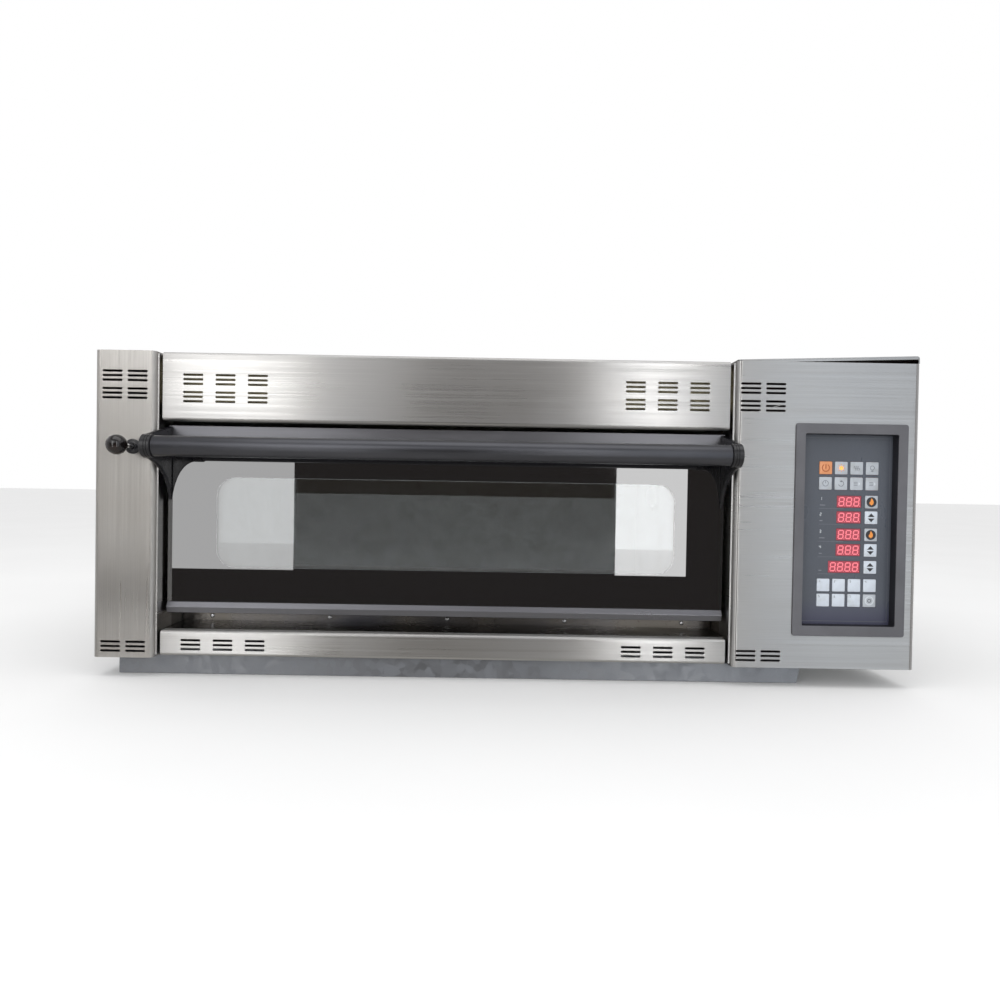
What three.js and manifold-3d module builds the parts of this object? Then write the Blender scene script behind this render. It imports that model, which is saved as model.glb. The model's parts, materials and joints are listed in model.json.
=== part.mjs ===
// A one-deck electric bakery oven with an inward-swinging glass door, built in millimetres with +Z up.
// X runs left to right as the baker sees the oven, and Y runs from the front to the back.
// Inside the model, Y = 0 is the front face of the two side columns, and Z = 0 is the surface it stands on.

import * as THREE from "three";
import { mergeVertices } from "three/addons/utils/BufferGeometryUtils.js";
import Module from "manifold-3d";

const wasm = await Module();
wasm.setup();

// ---------------------------------------------------------------- driving dimensions

const CASE_WIDTH = 1320;
const CASE_DEPTH = 978;
const BASE_HEIGHT = 32;
const CASE_TOP = 524;
const SHEET = 2;
const GAP = 0.3;
const BEND_RADIUS = 7;

const OPENING_CENTRE = -99;
const OPENING_HALF = 465;
const FRONT_HALF = 457.5;
const JAMB_THICKNESS = 3;

const FASCIA_SETBACK = 10;
const UPPER_FASCIA_BOTTOM = 414;
const LOWER_FASCIA_TOP = 74.5;
const LOWER_FASCIA_BOTTOM = 34;

const HEARTH_TOP = 96;
const STONE_THICKNESS = 20;
const HEARTH_FRONT = 130;
const CHAMBER_FRONT = 62.3;
const CHAMBER_BACK = 848.3;
const CROWN_BOTTOM = 424;
const STEAM_PORT = { y: [760, 820], z: [330, 400] };

const DOOR_AXIS_Y = 47;
const DOOR_AXIS_Z = 400;
const DOOR_BOTTOM = 100;
const GLASS_BOTTOM = 118;
const GLASS_TOP = 388;
const RAIL_TOP = 408;
const GLASS_FRONT = 35;
const DOOR_BACK = 59;
const PIN_RADIUS = 4;

const BAR_Y = -62;
const BAR_Z = 369;
const BAR_RADIUS = 16;
const HUB_RADIUS = 18;
const HUB_WIDTH = 16;
const HUB_INSET = 4;

const DAMPER_X = -598;
const DAMPER_Z = 370.5;
const KNOB_RADIUS = 15.5;
const KNOB_CENTRE_Y = -52;
const ROD_RADIUS = 4;
const GATE_Y = 905;
const DUCT_RADIUS = 36;
const DUCT_BACK = 1008;

const PANEL_CENTRE_X = 551.5;
const PANEL_CENTRE_Z = 255.5;
const BEZEL_WIDTH = 180;
const BEZEL_HEIGHT = 341;
const WINDOW_WIDTH = 149;
const WINDOW_HEIGHT = 308;
const CUTOUT_MARGIN = 4;
const RECESS = 16;

const KEY_SIZE = 20.6;
const KEY_FRONT = RECESS - 0.6;
const KEY_BACK = RECESS + 2.6;
const KEY_COLUMNS = [517.7, 542.9, 568.1, 593.3];
const FUNCTION_ROWS = [355.8, 330.6];
const PROGRAM_ROWS = [165.1, 140.5];
const READOUT_ROWS = [301.2, 275.8, 247.8, 222.6, 195];
const READOUT_HEIGHT = 19.6;

const LID_TILT = THREE.MathUtils.degToRad(2);
const LID_LIP = 3.4;

const CASE_HALF = CASE_WIDTH / 2;
const OPENING_LEFT = OPENING_CENTRE - OPENING_HALF;
const OPENING_RIGHT = OPENING_CENTRE + OPENING_HALF;
const FRONTMOST = BAR_Y - HUB_RADIUS;

// ---------------------------------------------------------------- finishes

const finish = (color, roughness, metalness) =>
  new THREE.MeshStandardMaterial({ color, roughness, metalness });
const brushedSteel = () => finish(0xb9b8b5, 0.35, 1.0);
const darkSteel = () => finish(0x6e6f73, 0.3, 1.0);
const galvanised = () => finish(0x8c9096, 0.5, 0.9);
const anodised = () => finish(0x46464e, 0.4, 0.8);
const blackCasting = () => finish(0x141418, 0.3, 0.3);
const tintedGlass = () => finish(0x1b1d20, 0.05, 0.1);
const stone = () => finish(0xc9b79a, 0.9, 0.0);
const elementSteel = () => finish(0x4c4745, 0.5, 0.8);
const wool = () => finish(0xd8d2b8, 1.0, 0.0);
const chrome = () => finish(0xd6d8da, 0.12, 1.0);
const ballPlastic = () => finish(0x120d0a, 0.15, 0.0);
const bezelPlastic = () => finish(0x55565c, 0.55, 0.0);
const overlayFilm = () => finish(0x4a505a, 0.45, 0.0);
const displayRed = () => finish(0x5a1018, 0.3, 0.0);
const whiteKey = () => finish(0xe4e8ec, 0.5, 0.0);
const greyKey = () => finish(0xb0b5ba, 0.5, 0.0);
const orangeKey = () => finish(0xf08c28, 0.5, 0.0);
const lampGlass = () => finish(0xf2ead6, 0.1, 0.0);

// ---------------------------------------------------------------- geometry helpers

function block([x0, x1], [y0, y1], [z0, z1]) {
  const geometry = new THREE.BoxGeometry(x1 - x0, y1 - y0, z1 - z0);
  return geometry.translate((x0 + x1) / 2, (y0 + y1) / 2, (z0 + z1) / 2);
}

const AXES = {
  x: [new THREE.Vector3(0, 1, 0), new THREE.Vector3(0, 0, 1), new THREE.Vector3(1, 0, 0)],
  y: [new THREE.Vector3(0, 0, 1), new THREE.Vector3(1, 0, 0), new THREE.Vector3(0, 1, 0)],
  z: [new THREE.Vector3(1, 0, 0), new THREE.Vector3(0, 1, 0), new THREE.Vector3(0, 0, 1)],
};

// Extrudes an outline along an axis. The outline's two coordinates are (y, z), (z, x) or (x, y).
function prism(outline, axis, [from, to], curveSegments = 8) {
  const shape = outline instanceof THREE.Shape ? outline : new THREE.Shape(outline);
  const geometry = new THREE.ExtrudeGeometry(shape, { depth: to - from, bevelEnabled: false, curveSegments });
  geometry.translate(0, 0, from);
  return geometry.applyMatrix4(new THREE.Matrix4().makeBasis(...AXES[axis]));
}

// Turns a profile of [radius, place along the axis] points about the X or Y axis.
function turned(profile, axis, segments = 24) {
  const points = profile.map(([r, along]) => new THREE.Vector2(r, along));
  const geometry = new THREE.LatheGeometry(points, segments);
  return axis === "x" ? geometry.rotateZ(-Math.PI / 2) : geometry;
}

function rod(radius, axis, [from, to], segments = 24) {
  return turned([[0, from], [radius, from], [radius, to], [0, to]], axis, segments);
}

// Rounds the corners of a polyline, so that a folded sheet or a bent tube can follow it.
function rounded(corners, radius, steps = 4) {
  const path = [corners[0]];
  for (let i = 1; i < corners.length - 1; i++) {
    const before = corners[i].clone().sub(corners[i - 1]).normalize();
    const after = corners[i + 1].clone().sub(corners[i]).normalize();
    const centre = corners[i].clone().addScaledVector(before, -radius).addScaledVector(after, radius);
    for (let step = 0; step <= steps; step++) {
      const angle = (step / steps) * (Math.PI / 2);
      const point = centre.clone();
      point.addScaledVector(after, -radius * Math.cos(angle));
      point.addScaledVector(before, radius * Math.sin(angle));
      path.push(point);
    }
  }
  path.push(corners[corners.length - 1]);
  return path;
}

// The closed outline of a strip of the given width whose middle follows the path.
function strip(path, width) {
  const left = [];
  const right = [];
  path.forEach((point, i) => {
    const back = point.clone().sub(path[Math.max(i - 1, 0)]).normalize();
    const ahead = path[Math.min(i + 1, path.length - 1)].clone().sub(point).normalize();
    const along = back.clone().add(ahead).normalize();
    const ends = i === 0 || i === path.length - 1;
    const reach = width / 2 / (ends ? 1 : along.dot(ahead));
    const normal = new THREE.Vector2(-along.y, along.x).multiplyScalar(reach);
    left.push(point.clone().add(normal));
    right.push(point.clone().sub(normal));
  });
  return left.concat(right.reverse());
}

function foldedSheet(corners, axis, range, radius = BEND_RADIUS) {
  const points = corners.map(([a, b]) => new THREE.Vector2(a, b));
  return prism(strip(rounded(points, radius), SHEET), axis, range);
}

function toManifold(geometry) {
  const bare = new THREE.BufferGeometry();
  bare.setAttribute("position", geometry.getAttribute("position").clone());
  if (geometry.index) bare.setIndex(geometry.index.clone());
  const merged = mergeVertices(bare, 1e-4);
  const kept = [];
  const index = merged.index.array;
  for (let i = 0; i < index.length; i += 3) {
    const [a, b, c] = index.slice(i, i + 3);
    if (a !== b && b !== c && c !== a) kept.push(a, b, c);
  }
  const vertProperties = new Float32Array(merged.getAttribute("position").array);
  return new wasm.Manifold(new wasm.Mesh({ numProp: 3, vertProperties, triVerts: new Uint32Array(kept) }));
}

function fromManifold(body) {
  const mesh = body.getMesh();
  const geometry = new THREE.BufferGeometry();
  geometry.setAttribute("position", new THREE.BufferAttribute(mesh.vertProperties, 3));
  geometry.setIndex(new THREE.BufferAttribute(mesh.triVerts, 1));
  return geometry;
}

const join = (...parts) => fromManifold(parts.map(toManifold).reduce((sum, part) => sum.add(part)));
const cut = (body, ...tools) => fromManifold(
  tools.map(toManifold).reduce((rest, tool) => rest.subtract(tool), toManifold(body)));

function piece(name, geometry, material) {
  const mesh = new THREE.Mesh(geometry, material);
  mesh.name = name;
  return mesh;
}

function group(...children) {
  const result = new THREE.Group();
  result.add(...children);
  return result;
}

// ---------------------------------------------------------------- ventilation slots

const SLOT_LENGTH = 31.5;
const SLOT_HEIGHT = 3.5;
const SLOT_PITCH = 7.3;
const SLOTS_PER_GROUP = 3;

function slots(columns, rows) {
  const tools = [];
  for (const x of columns) {
    for (const rowCentre of rows) {
      for (let i = 0; i < SLOTS_PER_GROUP; i++) {
        const z = rowCentre + (i - (SLOTS_PER_GROUP - 1) / 2) * SLOT_PITCH;
        const reach = SLOT_LENGTH / 2;
        tools.push(block([x - reach, x + reach], [-5, 20], [z - SLOT_HEIGHT / 2, z + SLOT_HEIGHT / 2]));
      }
    }
  }
  return tools;
}

// ---------------------------------------------------------------- casing

const COLUMN_RETURN = 60;
const PANEL_EDGE = 14;
const COLUMN_VENT_ROWS = [483.5, 455.5];
const VENT_ROWS = [480.5, 452.5];
const LOW_VENT_ROW = 51;
const FLANGE = 18;

function baseFrame() {
  const outline = [[0, -632], [0, 484], [BASE_HEIGHT, 490], [BASE_HEIGHT, -632]];
  const outer = prism(outline.map(([z, x]) => new THREE.Vector2(z, x)), "y", [30, 950]);
  const inner = block([-592, 444], [70, 910], [-5, BASE_HEIGHT + 5]);
  return piece("base_frame", cut(outer, inner), galvanised());
}

// A tab of sheet that reaches the front between a column's return and its side, inside the rounded bends.
function columnTab(left, right, back, z) {
  const front = SHEET + GAP;
  const bend = 6;
  const outline = [[left, front + bend], [left + bend, front], [right - bend, front], [right, front + bend],
    [right, back], [left, back]];
  return prism(outline.map(([x, y]) => new THREE.Vector2(x, y)), "z", z);
}

function floorPan() {
  const reach = CASE_HALF - SHEET - 0.5;
  const front = COLUMN_RETURN + 2;
  const z = [BASE_HEIGHT + GAP, BASE_HEIGHT + GAP + SHEET];
  const leftTab = columnTab(-reach, OPENING_LEFT - SHEET - GAP, front + 5, z);
  const rightTab = columnTab(OPENING_RIGHT + SHEET + GAP, reach, front + 5, z);
  return piece("floor_pan", join(block([-reach, reach], [front, 975.5], z), leftTab, rightTab), galvanised());
}

function backPanel() {
  const reach = CASE_HALF - SHEET - 0.5;
  const panel = block([-reach, reach], [CASE_DEPTH - SHEET, CASE_DEPTH], [36, CASE_TOP - SHEET - GAP]);
  const hole = rod(DUCT_RADIUS + 1.5, "y", [CASE_DEPTH - 10, CASE_DEPTH + 10], 32);
  hole.translate(DAMPER_X, 0, DAMPER_Z);
  return piece("back_panel", cut(panel, hole), galvanised());
}

// The cover reaches the front over the left column, inside the column's rounded bends, and runs under the lid.
function topCover() {
  const left = -CASE_HALF + SHEET + 0.5;
  const z = [CASE_TOP - SHEET, CASE_TOP];
  const fasciaBack = FASCIA_SETBACK + FLANGE + 2.5;
  const tab = columnTab(left, OPENING_LEFT - SHEET - GAP, fasciaBack + 5, z);
  const main = block([left, OPENING_RIGHT - 1], [fasciaBack, CASE_DEPTH], z);
  const underLid = block([OPENING_RIGHT - 2, OPENING_RIGHT + 20], [COLUMN_RETURN + 2, CASE_DEPTH], z);
  return piece("top_cover", join(main, tab, underLid), galvanised());
}

function sidePanels() {
  const y = [PANEL_EDGE + GAP, CASE_DEPTH];
  const z = [BASE_HEIGHT, CASE_TOP];
  return [
    piece("left_side_panel", block([-CASE_HALF, -CASE_HALF + SHEET], y, z), brushedSteel()),
    piece("right_side_panel", block([CASE_HALF - SHEET, CASE_HALF], y, z), brushedSteel()),
  ];
}

function leftColumnFront() {
  const x0 = -CASE_HALF + SHEET / 2;
  const x1 = OPENING_LEFT - SHEET / 2;
  const y = SHEET / 2;
  const corners = [[x0, PANEL_EDGE], [x0, y], [x1, y], [x1, COLUMN_RETURN]];
  const sheet = foldedSheet(corners, "z", [BASE_HEIGHT, CASE_TOP]);
  const columns = [-632, -592];
  const rodHole = rod(ROD_RADIUS + 1, "y", [-10, 10], 16).translate(DAMPER_X, 0, DAMPER_Z);
  const notch = block([x1 - 3, x1 + 3], [FASCIA_SETBACK + FLANGE, COLUMN_RETURN + 5],
    [CASE_TOP - SHEET - GAP, CASE_TOP + 5]);
  const tools = [...slots(columns, COLUMN_VENT_ROWS), ...slots(columns, [LOW_VENT_ROW - 1]), rodHole, notch];
  return piece("left_column_front", cut(sheet, ...tools), brushedSteel());
}

function controlFrontPanel() {
  const x0 = OPENING_RIGHT + SHEET / 2;
  const x1 = CASE_HALF - SHEET / 2;
  const y = SHEET / 2;
  const corners = [[x0, COLUMN_RETURN], [x0, y], [x1, y], [x1, PANEL_EDGE]];
  const sheet = foldedSheet(corners, "z", [BASE_HEIGHT, CASE_TOP]);
  const columns = [388.5, 428.5];
  const halfX = BEZEL_WIDTH / 2 - CUTOUT_MARGIN;
  const halfZ = BEZEL_HEIGHT / 2 - CUTOUT_MARGIN;
  const window = block([PANEL_CENTRE_X - halfX, PANEL_CENTRE_X + halfX], [-10, 10],
    [PANEL_CENTRE_Z - halfZ, PANEL_CENTRE_Z + halfZ]);
  const tools = [...slots(columns, VENT_ROWS), ...slots(columns, [LOW_VENT_ROW]), window];
  return piece("control_front_panel", cut(sheet, ...tools), brushedSteel());
}

// The cabinet's lid lies on its left edge and stands a little open along its right edge.
// A narrow lip hangs from its front edge, just behind the panel's sheet.
function controlCabinetLid() {
  const edge = CASE_HALF - OPENING_RIGHT - 4;
  const middle = SHEET / 2;
  const front = SHEET + GAP;
  const sheet = foldedSheet([[middle, 0], [middle, edge], [-10, edge]], "y", [front, CASE_DEPTH], 3);
  const lip = block([BEND_RADIUS, edge - 1], [front, front + SHEET], [-LID_LIP, middle]);
  const lid = piece("control_cabinet_lid", join(sheet, lip), brushedSteel());
  lid.position.set(OPENING_RIGHT + 2, 0, CASE_TOP + 0.5);
  lid.rotation.y = -LID_TILT;
  return lid;
}

function fasciaVents() {
  const pitch = 52;
  const first = 304.5;
  const columns = [0, 1, 2].map((i) => first + i * pitch);
  return [...columns, ...columns.map((x) => -x)].map((x) => OPENING_CENTRE + x);
}

function fascia(name, bottom, top, rows) {
  const y = FASCIA_SETBACK + SHEET / 2;
  const back = FASCIA_SETBACK + FLANGE + 2;
  const z0 = bottom + SHEET / 2;
  const z1 = top - SHEET / 2;
  const corners = [[back, z0], [y, z0], [y, z1], [back, z1]];
  const sheet = foldedSheet(corners, "x", [OPENING_CENTRE - FRONT_HALF, OPENING_CENTRE + FRONT_HALF], 4);
  return piece(name, cut(sheet, ...slots(fasciaVents(), rows)), brushedSteel());
}

function sillPlate() {
  const reach = OPENING_HALF - JAMB_THICKNESS - 2 * GAP;
  const x = [OPENING_CENTRE - reach, OPENING_CENTRE + reach];
  const y = [FASCIA_SETBACK + FLANGE + 2 + GAP, HEARTH_FRONT - 22];
  return piece("sill_plate", block(x, y, [LOWER_FASCIA_TOP - SHEET, LOWER_FASCIA_TOP]), darkSteel());
}

// The jambs close the slots beside the door, and carry its pivot pins in plain round holes.
function jamb(name, side) {
  const x = [OPENING_HALF - GAP - JAMB_THICKNESS, OPENING_HALF - GAP].map((v) => v * side);
  const plate = block(side > 0 ? x : x.reverse(), [8, CHAMBER_FRONT - 2 * GAP], [36, CASE_TOP - SHEET - 1]);
  const hole = rod(PIN_RADIUS + GAP, "x", [-OPENING_HALF, OPENING_HALF], 16);
  hole.translate(0, DOOR_AXIS_Y, DOOR_AXIS_Z);
  return piece(name, cut(plate, hole), brushedSteel());
}

function casing() {
  const jambs = group(jamb("left_jamb", -1), jamb("right_jamb", 1));
  jambs.position.x = OPENING_CENTRE;
  return group(baseFrame(), floorPan(), backPanel(), topCover(), ...sidePanels(), leftColumnFront(),
    controlFrontPanel(), controlCabinetLid(), fascia("upper_fascia", UPPER_FASCIA_BOTTOM, CASE_TOP, VENT_ROWS),
    fascia("lower_fascia", LOWER_FASCIA_BOTTOM, LOWER_FASCIA_TOP, [LOW_VENT_ROW + 0.9]), sillPlate(), jambs);
}

// ---------------------------------------------------------------- baking chamber

const CHAMBER_HALF = OPENING_HALF - GAP - SHEET;
const WALL_BOTTOM = BASE_HEIGHT + 2 * GAP + SHEET;

function chamberWalls() {
  const y = [CHAMBER_FRONT, CHAMBER_BACK + SHEET];
  const z = [WALL_BOTTOM, CROWN_BOTTOM + SHEET];
  const left = block([-CHAMBER_HALF - SHEET, -CHAMBER_HALF], y, z);
  const steamPort = block([-CHAMBER_HALF - 10, -CHAMBER_HALF + 10], STEAM_PORT.y, STEAM_PORT.z);
  const inner = CHAMBER_HALF - GAP;
  const backHeight = [WALL_BOTTOM, CROWN_BOTTOM - GAP];
  return [
    piece("chamber_left_wall", cut(left, steamPort), galvanised()),
    piece("chamber_right_wall", block([CHAMBER_HALF, CHAMBER_HALF + SHEET], y, z), galvanised()),
    piece("chamber_back_wall", block([-inner, inner], [CHAMBER_BACK, CHAMBER_BACK + SHEET], backHeight),
      galvanised()),
  ];
}

function chamberCrown() {
  const reach = OPENING_HALF - JAMB_THICKNESS - 2 * GAP;
  const z = [CROWN_BOTTOM, CROWN_BOTTOM + SHEET];
  return piece("chamber_crown", block([-reach, reach], [34, CHAMBER_BACK + SHEET], z), galvanised());
}

function hearth() {
  const reach = CHAMBER_HALF - 1;
  const y = [HEARTH_FRONT, CHAMBER_BACK - 3];
  const z = [HEARTH_TOP - STONE_THICKNESS, HEARTH_TOP];
  return [
    piece("hearth_front_strip",
      block([-reach, reach], [HEARTH_FRONT - 21.7, HEARTH_FRONT - GAP], [60, HEARTH_TOP]), darkSteel()),
    piece("hearth_stone_left", block([-reach, -0.5], y, z), stone()),
    piece("hearth_stone_right", block([0.5, reach], y, z), stone()),
  ];
}

// A tubular element bent into hairpins that run from the front to the back.
function heatingElement(name, bottom) {
  const runs = 6;
  const pitch = 150;
  const front = 200;
  const back = 790;
  const size = 8;
  const corners = [];
  for (let run = 0; run < runs; run++) {
    const x = (run - (runs - 1) / 2) * pitch;
    const ends = run % 2 === 0 ? [front, back] : [back, front];
    corners.push(new THREE.Vector2(x, ends[0]), new THREE.Vector2(x, ends[1]));
  }
  const outline = strip(rounded(corners, 40, 4), size);
  return piece(name, prism(outline, "z", [bottom, bottom + size]), elementSteel());
}

function crownInsulation() {
  const reach = CHAMBER_HALF - 2;
  return piece("crown_insulation", block([-reach, reach], [40, 900], [448, 516]), wool());
}

function chamberLamp() {
  const wall = CHAMBER_HALF - GAP;
  const profile = [[0, wall], [34, wall], [34, wall - 4], [26, wall - 5], [24, wall - 12], [16, wall - 19],
    [0, wall - 22]];
  const lamp = turned(profile.reverse(), "x", 20).translate(0, 600, 300);
  return piece("chamber_lamp", lamp, lampGlass());
}

function chamber() {
  const elements = [heatingElement("upper_heating_element", 432), heatingElement("lower_heating_element", 58)];
  const result = group(...chamberWalls(), chamberCrown(), ...hearth(), ...elements, crownInsulation(),
    chamberLamp());
  result.position.x = OPENING_CENTRE;
  return result;
}

// ---------------------------------------------------------------- door

function doorRails() {
  const x = [-FRONT_HALF, FRONT_HALF];
  const beam = block(x, [GLASS_FRONT, DOOR_BACK], [GLASS_TOP, RAIL_TOP]);
  const pin = rod(PIN_RADIUS, "x", [-OPENING_HALF + 1.5, OPENING_HALF - 1.5], 16);
  pin.translate(0, DOOR_AXIS_Y, DOOR_AXIS_Z);
  const facets = [[GLASS_FRONT, GLASS_BOTTOM], [GLASS_FRONT - 4, DOOR_BOTTOM + 9.7],
    [GLASS_FRONT - 1, DOOR_BOTTOM], [DOOR_BACK, DOOR_BOTTOM], [DOOR_BACK, GLASS_BOTTOM]];
  const outline = facets.map(([y, z]) => new THREE.Vector2(y, z));
  return [
    piece("door_top_rail", join(beam, pin), anodised()),
    piece("door_bottom_rail", prism(outline, "x", x), anodised()),
  ];
}

function doorPanes() {
  const z = [GLASS_BOTTOM + GAP, GLASS_TOP - GAP];
  const inset = 18;
  return [
    piece("door_glass", block([-FRONT_HALF, FRONT_HALF], [GLASS_FRONT, GLASS_FRONT + 6], z), tintedGlass()),
    piece("door_inner_glass", block([-FRONT_HALF + inset, FRONT_HALF - inset], [51, 56], z), tintedGlass()),
  ];
}

const ARM_THICKNESS = 5.5;
const ARM_INSET = 1;
const ARM_FOOT = 282;
const ARM_HEAD = 407;

// The arm's side view: it leaves the glass low down, sweeps forward in a hollow curve and meets the bar.
function armOutline() {
  const foot = GLASS_FRONT - GAP;
  const shape = new THREE.Shape();
  shape.moveTo(foot, ARM_HEAD);
  shape.lineTo(BAR_Y, BAR_Z + HUB_RADIUS - 1);
  shape.lineTo(BAR_Y, BAR_Z - HUB_RADIUS + 1);
  shape.quadraticCurveTo(18, 345, foot, ARM_FOOT);
  return shape;
}

function handleBracket(name, side) {
  const span = (a, b) => (side > 0 ? [a, b] : [-b, -a]);
  const armEnd = FRONT_HALF - ARM_INSET;
  const arm = prism(armOutline(), "x", span(armEnd - ARM_THICKNESS, armEnd));
  const hubEnd = FRONT_HALF - HUB_INSET;
  const hub = rod(HUB_RADIUS, "x", span(hubEnd - HUB_WIDTH, hubEnd), 32).translate(0, BAR_Y, BAR_Z);
  return piece(name, join(arm, hub), blackCasting());
}

function handleBar() {
  const reach = FRONT_HALF - HUB_INSET - HUB_WIDTH - GAP;
  const bar = rod(BAR_RADIUS, "x", [-reach, reach], 32).translate(0, BAR_Y, BAR_Z);
  return piece("handle_bar", bar, anodised());
}

function door() {
  const result = group(...doorRails(), ...doorPanes(), handleBracket("handle_bracket_left", -1),
    handleBracket("handle_bracket_right", 1), handleBar());
  result.position.x = OPENING_CENTRE;
  return result;
}

// ---------------------------------------------------------------- steam damper

function knobProfile() {
  const neck = 6;
  const neckEnd = KNOB_CENTRE_Y + KNOB_RADIUS + 2;
  const profile = [];
  const start = Math.asin(neck / KNOB_RADIUS);
  const steps = 10;
  for (let i = 0; i <= steps; i++) {
    const angle = Math.PI - (i / steps) * (Math.PI - start);
    profile.push([KNOB_RADIUS * Math.sin(angle), KNOB_CENTRE_Y + KNOB_RADIUS * Math.cos(angle)]);
  }
  profile[0][0] = 0;
  profile.push([neck, neckEnd], [0, neckEnd]);
  return profile;
}

function damper() {
  const knobBack = KNOB_CENTRE_Y + KNOB_RADIUS + 2;
  const gate = [[0, knobBack + GAP], [ROD_RADIUS, knobBack + GAP], [ROD_RADIUS, GATE_Y], [33, GATE_Y],
    [33, GATE_Y + 3], [0, GATE_Y + 3]];
  const rosette = [[ROD_RADIUS + 0.6, -GAP], [ROD_RADIUS + 0.6, -5], [9, -5], [12, -3], [12, -GAP],
    [ROD_RADIUS + 0.6, -GAP]];
  const front = GATE_Y + 5;
  const duct = [[DUCT_RADIUS - 2, front], [DUCT_RADIUS + 1, front], [DUCT_RADIUS + 1, front + 3],
    [DUCT_RADIUS, front + 3], [DUCT_RADIUS, DUCT_BACK], [DUCT_RADIUS - 2, DUCT_BACK], [DUCT_RADIUS - 2, front]];
  const result = group(
    piece("damper_knob", turned(knobProfile(), "y", 24), ballPlastic()),
    piece("damper_rod", turned(gate, "y", 16), chrome()),
    piece("damper_rosette", turned(rosette, "y", 20), blackCasting()),
    piece("exhaust_duct", turned(duct, "y", 32), galvanised()),
  );
  result.position.set(DAMPER_X, 0, DAMPER_Z);
  return result;
}

// ---------------------------------------------------------------- control panel

const centred = (width, height, y) => block([-width / 2, width / 2], y, [-height / 2, height / 2]);

function controlBezel() {
  const flange = centred(BEZEL_WIDTH, BEZEL_HEIGHT, [-3, -GAP]);
  const sleeveWidth = BEZEL_WIDTH - 2 * CUTOUT_MARGIN - 2 * GAP;
  const sleeveHeight = BEZEL_HEIGHT - 2 * CUTOUT_MARGIN - 2 * GAP;
  const sleeve = centred(sleeveWidth, sleeveHeight, [-1, RECESS - GAP]);
  const window = centred(WINDOW_WIDTH, WINDOW_HEIGHT, [-20, 40]);
  const bezel = piece("control_bezel", cut(join(flange, sleeve), window), bezelPlastic());
  bezel.position.set(PANEL_CENTRE_X, 0, PANEL_CENTRE_Z);
  return bezel;
}

const ORANGE = "orange";
const GREY = "grey";
const WHITE = "white";

function keyLayout() {
  const keys = [];
  const functions = [["power", "heat", "steam", "lamp"], ["timer", "vent", "memory", "bell"]];
  functions.forEach((names, row) => names.forEach((name, column) => {
    const colour = name === "power" ? ORANGE : GREY;
    keys.push([`key_${name}`, KEY_COLUMNS[column], FUNCTION_ROWS[row], colour]);
  }));
  const setKeys = ["upper_heat", "upper_adjust", "lower_heat", "lower_adjust", "time_adjust"];
  setKeys.forEach((name, row) => {
    keys.push([`key_${name}`, KEY_COLUMNS[3], READOUT_ROWS[row], name.endsWith("heat") ? GREY : WHITE]);
  });
  PROGRAM_ROWS.forEach((z, row) => KEY_COLUMNS.forEach((x, column) => {
    const number = row * KEY_COLUMNS.length + column + 1;
    const last = number === PROGRAM_ROWS.length * KEY_COLUMNS.length;
    keys.push([last ? "key_enter" : `key_program_${number}`, x, z, last ? GREY : WHITE]);
  }));
  return keys;
}

// Four of the five readouts hold three digits, and the lowest one holds four.
function readouts() {
  return READOUT_ROWS.map((z, row) => {
    const width = row === READOUT_ROWS.length - 1 ? 52 : 40;
    return { x: KEY_COLUMNS[3] - KEY_SIZE / 2 - 6 - width / 2, z, width };
  });
}

function overlayPanel() {
  const halfX = BEZEL_WIDTH / 2 - CUTOUT_MARGIN - GAP;
  const halfZ = BEZEL_HEIGHT / 2 - CUTOUT_MARGIN - GAP;
  const plate = block([PANEL_CENTRE_X - halfX, PANEL_CENTRE_X + halfX], [RECESS, RECESS + 3],
    [PANEL_CENTRE_Z - halfZ, PANEL_CENTRE_Z + halfZ]);
  const pocket = (x, z, width, height) => block([x - width / 2, x + width / 2], [0, 40],
    [z - height / 2, z + height / 2]);
  const holes = keyLayout().map(([, x, z]) => pocket(x, z, KEY_SIZE + 2 * GAP, KEY_SIZE + 2 * GAP));
  const windows = readouts().map(({ x, z, width }) => pocket(x, z, width, READOUT_HEIGHT));
  return piece("overlay_panel", cut(plate, ...holes, ...windows), overlayFilm());
}

function displayBoard() {
  const board = block([PANEL_CENTRE_X - 80, PANEL_CENTRE_X + 80], [RECESS + 5, RECESS + 6.6],
    [PANEL_CENTRE_Z - 130, PANEL_CENTRE_Z + 130]);
  const modules = readouts().map(({ x, z, width }) => {
    const reach = width / 2 - GAP;
    const rise = READOUT_HEIGHT / 2 - GAP;
    return block([x - reach, x + reach], [RECESS + 0.5, RECESS + 5.5], [z - rise, z + rise]);
  });
  return piece("display_board", join(board, ...modules), displayRed());
}

function keys() {
  const materials = { [ORANGE]: orangeKey, [GREY]: greyKey, [WHITE]: whiteKey };
  const half = KEY_SIZE / 2;
  return keyLayout().map(([name, x, z, colour]) => {
    const key = block([x - half, x + half], [KEY_FRONT, KEY_BACK], [z - half, z + half]);
    return piece(name, key, materials[colour]());
  });
}

// ---------------------------------------------------------------- the whole oven

const panel = [controlBezel(), overlayPanel(), displayBoard(), ...keys()];
const oven = group(casing(), chamber(), door(), damper(), ...panel);
oven.position.y = -(FRONTMOST + DUCT_BACK) / 2;

export default oven;
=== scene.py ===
# A one-deck bakery oven: folded stainless sheets, glass door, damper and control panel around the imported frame.
import json
import math

import bmesh
import bpy
from mathutils import Matrix, Vector

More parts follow.
